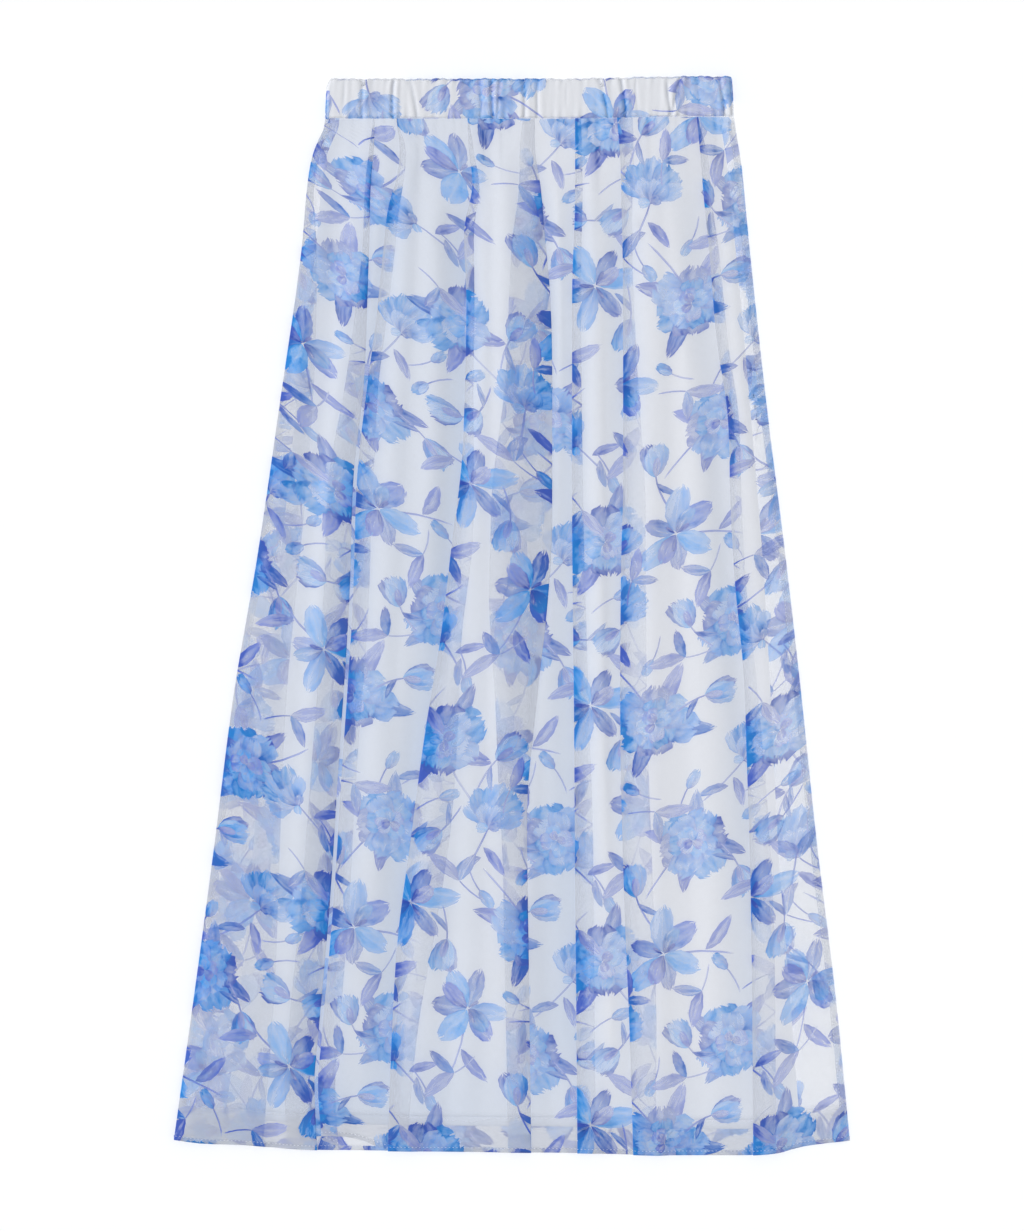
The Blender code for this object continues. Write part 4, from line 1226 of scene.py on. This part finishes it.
def gridMesh(name, grid, loop=False):
    rows, columns = grid["x"].shape
    points = np.stack([grid["x"], grid["y"], grid["z"]], axis=2).reshape(-1, 3) * mm
    faces = []
    for r in range(rows - 1):
        for k in range(columns if loop else columns - 1):
            here, beside = r * columns + k, r * columns + (k + 1) % columns
            faces.append((here, here + columns, beside + columns, beside))
    piece = meshPiece(name, points.tolist(), faces)
    put(piece.data, "hollow", "FLOAT", grid["hollow"].reshape(-1), "POINT")
    return piece


liningPieces = {}
for which in ("front", "back"):
    grid = liningGrid(which)
    piece = gridMesh("lining" + which.title() + "Cloth", grid)
    dress(piece, liningCloth, "lining_cloth", "lining_" + which)
    liningPieces[which] = (piece, grid)
print("linings laid")


# the waistband: a casing of the printed cloth round an elastic

band = {
    "thick": 6.8, "corner": 2.5, "cornerOver": 7, "tuckedLeft": 1.2, "tuckedRight": 2.0,
    "columns": 430, "endSteps": 8, "outerRows": 11, "leastHigh": 0.05, "shade": 1.6,
    "profile": {  # down the front of the casing and up inside it: below, and half the thickness
        "below": [34.2, 33.4, 32, 29, 25, 20, 14, 8, 4, 1.6, 0.5, 0, 0.5, 2, 8, 20, 30, 33, 34],
        "half": [2.9, 3.15, 3.3, 3.38, 3.4, 3.4, 3.4, 3.4, 3.35, 3.1, 2.7, 2.1, 1.4, 0.9, 0.8, 0.8,
                 0.8, 1.2, 1.9],
    },
    "elastic": {  # the same way round, inside the casing and clear of its deepest puckers
        "below": [33.2, 32.8, 31.5, 28.5, 24.5, 19.5, 13.5, 8, 4, 1.9, 1.3, 1.1, 2, 8, 20, 31, 32.8,
                  33.2],
        "half": [1.0, 1.9, 2.25, *[2.3] * 6, 2.1, 1.8, 1.3, *[1.0] * 6],
    },
    "scallop": {"even": 0.5, "over": 9, "waves": ((0.3, 2.9, 0), (0.2, 6.7, 1.1), (0.25, 1.1, 0))},
}

frontPuckers = {  # across, where each crease starts at the top edge and ends at the foot
    "top": [-139, -125, -98.5, -84, -54, -26.3, -17.5, -8.8, 10.5, 22.3, 45, 73.5, 92, 103, 129.3,
            141.5, 155, 173.7],
    "foot": [-142, -124.5, -99.4, -79, -56, -26, -15.2, -13, 10.3, 20.4, 46, 80, 94.7, 105, 132,
             132.3, 156, 177.8],
    "depth": [0.4, 1.0, 1.5, 0.8, 0.4, 0.8, 1.5, 0.7, 0.9, 0.8, 0.3, 0.9, 1.3, 0.5, 1.1, 1.4, 0.4, 1.2],
    "start": [0] * 14 + [0.3, 0, 0, 0],
    "stop": [0.5, 1, 1, 1, 0.4, 1, 1, 1, 1, 1, 0.5, 1, 1, 0.6, 1, 1, 0.5, 1],
}
backPuckers = {
    "top": [-132, -104, -76, -43, -12, 24, 61, 97, 128, 158],
    "foot": [-130, -106, -75, -45, -12, 22, 63, 96, 130, 157],
    "depth": [0.8, 1.0, 0.7, 1.1, 0.8, 1.0, 0.9, 0.7, 1.1, 0.8],
    "start": [0] * 10, "stop": [1] * 10,
}
puckering = {  # a valley with a swelling on each side, a thin dark line in it that is part print and part painted shade, and fine ripples
    "startOver": 0.15, "stopOver": 0.25, "wander": 0.5, "valley": 1.1, "swelling": 0.45,
    "swellingAt": 3.4, "swellingWide": 2.0, "line": 0.75, "creaseInkAndShade": 0.8,
    "ripple": 0.34, "rippleEdge": 0.7, "rippleMiddle": 0.16, "rippleInkAndShade": 0.3,
}


def pucker(table, x, below):  # how far the casing sinks there, and how sharply it is creased
    share = below / bandFoot
    dent, crease = 0.0, 0.0
    for top, foot, depth, start, stop in zip(*table.values()):
        deep = depth * smooth((share - start) / puckering["startOver"] + 1)
        deep *= smooth((stop - share) / puckering["stopOver"] + 1)
        off = x - top - (foot - top) * share - puckering["wander"] * math.sin(5 * share + top)
        beside = (abs(off) - puckering["swellingAt"]) / puckering["swellingWide"]
        dent += deep * (math.exp(-(off / puckering["valley"]) ** 2)
                        - puckering["swelling"] * math.exp(-beside ** 2))
        crease += deep * math.exp(-(off / puckering["line"]) ** 2)
    fromMiddle = abs(2 * share - 1)
    drawn = puckering["rippleEdge"] * fromMiddle ** 3 + puckering["rippleMiddle"]
    ripple = math.sin(x / 1.55 + 1.3 * math.sin(x / 7.3)) + 0.6 * math.sin(x / 0.93 + 2 * share)
    # painted shade: the crease line and the ripples near the edges darken the print, standing in for the
    # shade in the creases as well as doubled cloth
    ink = puckering["creaseInkAndShade"] * crease + puckering["rippleInkAndShade"] * max(0.0, ripple) * fromMiddle ** 6
    return dent + drawn * puckering["ripple"] * ripple, min(1.0, ink)


def bandGrid(profile):
    grid = emptyGrid("pressed", "hollow")
    middle = band["thick"] / 2
    turns = [math.pi * n / band["endSteps"] for n in range(1, band["endSteps"])]
    v = 0.0
    for i, (below, half) in enumerate(zip(profile["below"], profile["half"])):
        if i:
            v += math.hypot(below - profile["below"][i - 1], half - profile["half"][i - 1])

        def puckered(table, xs):  # only the outer face is puckered
            return [(x, *(pucker(table, x, below) if i < band["outerRows"] else (0.0, 0.0))) for x in xs]

        corner = band["corner"] * (1 - smooth(below / band["cornerOver"]))
        left = edgeAt(below, "left") + middle + corner + band["tuckedLeft"] * (1 - below / bandFoot)
        right = edgeAt(below, "right") - middle - band["tuckedRight"] * (1 - below / bandFoot)
        across = np.linspace(left, right, band["columns"])
        loop = [(x, half - dent, crease, dent) for x, dent, crease in puckered(frontPuckers, across)]
        loop += [(right + half * math.sin(t), half * math.cos(t), 0.0, 0.0) for t in turns]
        loop += [(x, -half + dent, crease, dent) for x, dent, crease in puckered(backPuckers, across[::-1])]
        loop += [(left - half * math.sin(t), -half * math.cos(t), 0.0, 0.0) for t in turns]
        xs, zs, creases, dents = np.array(loop + loop[:1]).T
        zs = zs + middle
        down = below + np.array([scallop(x, below) for x in xs])
        # painted shade in each pucker's dent, which the plain elastic shows
        addRow(grid, v=v, s=alongRow(xs, zs), x=xs, z=np.maximum(zs, middle - half + band["leastHigh"]),
               y=length / 2 - down - np.array([dipAt(x, below) for x in xs]),
               pressed=creases, hollow=np.maximum(0.0, band["shade"] * dents))
    grid = asArrays(grid)
    # the strip is as long all the way across as it is round its middle
    grid["s"] = np.repeat(grid["s"][[min(6, len(grid["v"]) - 1)]], len(grid["v"]), axis=0)
    grid["foldColumns"] = []
    return grid


def scallop(x, below):  # the top edge isn't quite even
    waves, wave = band["scallop"]["waves"], band["scallop"]["even"]
    for share, pitch, shift in waves:
        wave += share * math.sin(x / pitch + shift)
    return wave * max(0.0, 1 - below / band["scallop"]["over"])


bandStrip = bandGrid(band["profile"])
waistband = cutCloth("waistbandCasing", bandStrip, 0.0, bouquet["shift"]["band"])
dress(waistband, chiffonCloth, "printed_chiffon", "waistband")

elasticStrip = bandGrid(band["elastic"])
elasticRing = {key: elasticStrip[key][:, :-1] for key in ("x", "y", "z", "hollow")}
elastic = gridMesh("waistElastic", elasticRing, loop=True)
dress(elastic, elasticWeb, "lining_cloth")
print("waistband made")


# side seams, and the stitches along seams and hems

seam = {"wide": 5.4, "turn": 0.35, "inside": 0.6, "levels": (1.24, 1.32, 1.22, 1.06, 0.98, 0.94),
        "fromTop": 36.0, "toHem": 894, "veiled": 0.7}
stitching = {"long": 1.9, "thick": 0.17, "pitch": 3.1, "sides": 4, "lift": 0.14, "fromHem": 3.3,
             "liningHem": 9, "seamHigh": 1.34, "seamFrom": 40.0, "seamTo": 890}


def inwardFrom(which):
    return 1 if which == "left" else -1


def seamGrid(which):  # a narrow seam folded flat between the front's edge and the back's
    inward = inwardFrom(which)
    offsets = (seam["wide"], 0.5, -seam["turn"], -seam["turn"], 0.5, seam["wide"])
    grid = emptyGrid("pressed")
    for below in [b for b in clothRows if seam["fromTop"] < b < seam["toHem"]]:
        edge = edgeAt(below, which) + inward * seam["inside"]
        xs = np.array([edge + inward * off for off in offsets])
        zs = np.array(seam["levels"]) * settle(below)
        addRow(grid, v=below, s=alongRow(xs, zs), x=xs, z=zs, pressed=[-seam["veiled"]] * len(offsets),
               y=[length / 2 - hemBelow(x, below) for x in xs])
    grid = asArrays(grid)
    grid["foldColumns"] = [1, 2, 3, 4]
    return grid


for which in ("left", "right"):
    strip = cutCloth("sideSeam" + which.title(), seamGrid(which), 0.0, bouquet["shift"][which])
    dress(strip, chiffonCloth, "printed_chiffon")


def stitchRow(name, places):  # one short lens of thread for each (x, y, z, heading), in millimetres
    points, faces = [], []
    half, thick, sides = stitching["long"] / 2, stitching["thick"], stitching["sides"]
    for x, y, z, heading in places:
        first = len(points)
        along = (math.cos(heading), math.sin(heading))
        for reach in (-half, half):
            points.append((x + reach * along[0], y + reach * along[1], z))
        for i in range(sides):
            angle = 2 * math.pi * i / sides
            out, up = thick * math.cos(angle), thick * math.sin(angle)
            points.append((x - out * along[1], y + out * along[0], z + up))
        for i in range(sides):
            a, b = first + 2 + i, first + 2 + (i + 1) % sides
            faces += [(first, b, a), (first + 1, a, b)]
    piece = meshPiece(name, [tuple(mm * c for c in p) for p in points], faces)
    return dress(piece, threadWhite, "printed_chiffon", shadow=True)


def alongCloth(grid, v):  # stitches across a cloth, just above it
    left, right = grid["s"][-1, 0] + 2, grid["s"][-1, -1] - 2
    s = np.arange(left, right, stitching["pitch"])
    here = layOn(grid, s, np.full(len(s), v))
    there = layOn(grid, s + 0.6, np.full(len(s), v))
    heading = np.arctan2(there[:, 1] - here[:, 1], there[:, 0] - here[:, 0])
    return [(x, y, z + stitching["lift"], turn) for (x, y, z), turn in zip(here, heading)]


def alongSeam(which):
    places = []
    for below in np.arange(stitching["seamFrom"], stitching["seamTo"], stitching["pitch"]):
        x = edgeAt(below, which) + inwardFrom(which) * (seam["wide"] - 0.4)
        lean = edgeAt(below + 1, which) - edgeAt(below, which)
        high = stitching["seamHigh"] * settle(below)
        places.append((x, length / 2 - hemBelow(x, below), high, math.atan2(-1.0, lean)))
    return places


hemRow = length - stitching["fromHem"]
frontStitches = stitchRow("hemStitchesFront", alongCloth(frontGrid, hemRow))
backStitches = stitchRow("hemStitchesBack", alongCloth(backGrid, hemRow))
for which, (_, grid) in liningPieces.items():
    row = grid["v"][np.searchsorted(grid["v"], lining["hem"][which] - stitching["liningHem"])]
    stitchRow("lining" + which.title() + "Stitches", alongCloth(grid, row))
seamStitches = [stitchRow("sideSeamStitches" + which.title(), alongSeam(which))
                for which in ("left", "right")]
print("seams and stitches made")


# floor and light

studio = {
    "floor": (0.95, 0.95, 0.95, 1), "half": 6.0, "low": -0.0004,
    "skyColour": (0.94, 0.97, 1.01, 1), "sky": 0.50, "wide": 0.6,
    "lamps": {  # where each sun stands and how strong it is
        "softKey": ((-1.5, 0.1, 1.0), 2.6), "softFill": ((1.4, 0.2, 1.2), 0.62),
    },
}


def makeStage():
    half, low = studio["half"], studio["low"]
    mesh = bpy.data.meshes.new("floor")
    corners = [(-half, -half, low), (half, -half, low), (half, half, low), (-half, half, low)]
    mesh.from_pydata(corners, [], [(0, 1, 2, 3)])
    material, _, shader = newMaterial("floorPaper", 0.9, 0.0)
    shader.inputs["Base Color"].default_value = studio["floor"]
    mesh.materials.append(material)
    intoScene("floor", mesh)
    world = bpy.data.worlds.new("studioWorld")
    bpy.context.scene.world = world
    world.use_nodes = True
    background = world.node_tree.nodes["Background"].inputs
    background["Color"].default_value = studio["skyColour"]
    background["Strength"].default_value = studio["sky"]
    for name, (place, strength) in studio["lamps"].items():
        lamp = bpy.data.lights.new(name, "SUN")
        lamp.energy = strength
        lamp.angle = studio["wide"]
        sun = intoScene(name, lamp)
        sun.location = place
        sun.rotation_euler = aimed(place)
    bpy.context.scene.view_settings.view_transform = "Standard"


def aimed(place):  # the turn that points a lamp at the skirt's middle
    return (-Vector(place)).to_track_quat("-Z", "Y").to_euler()


makeStage()
print("stage set")
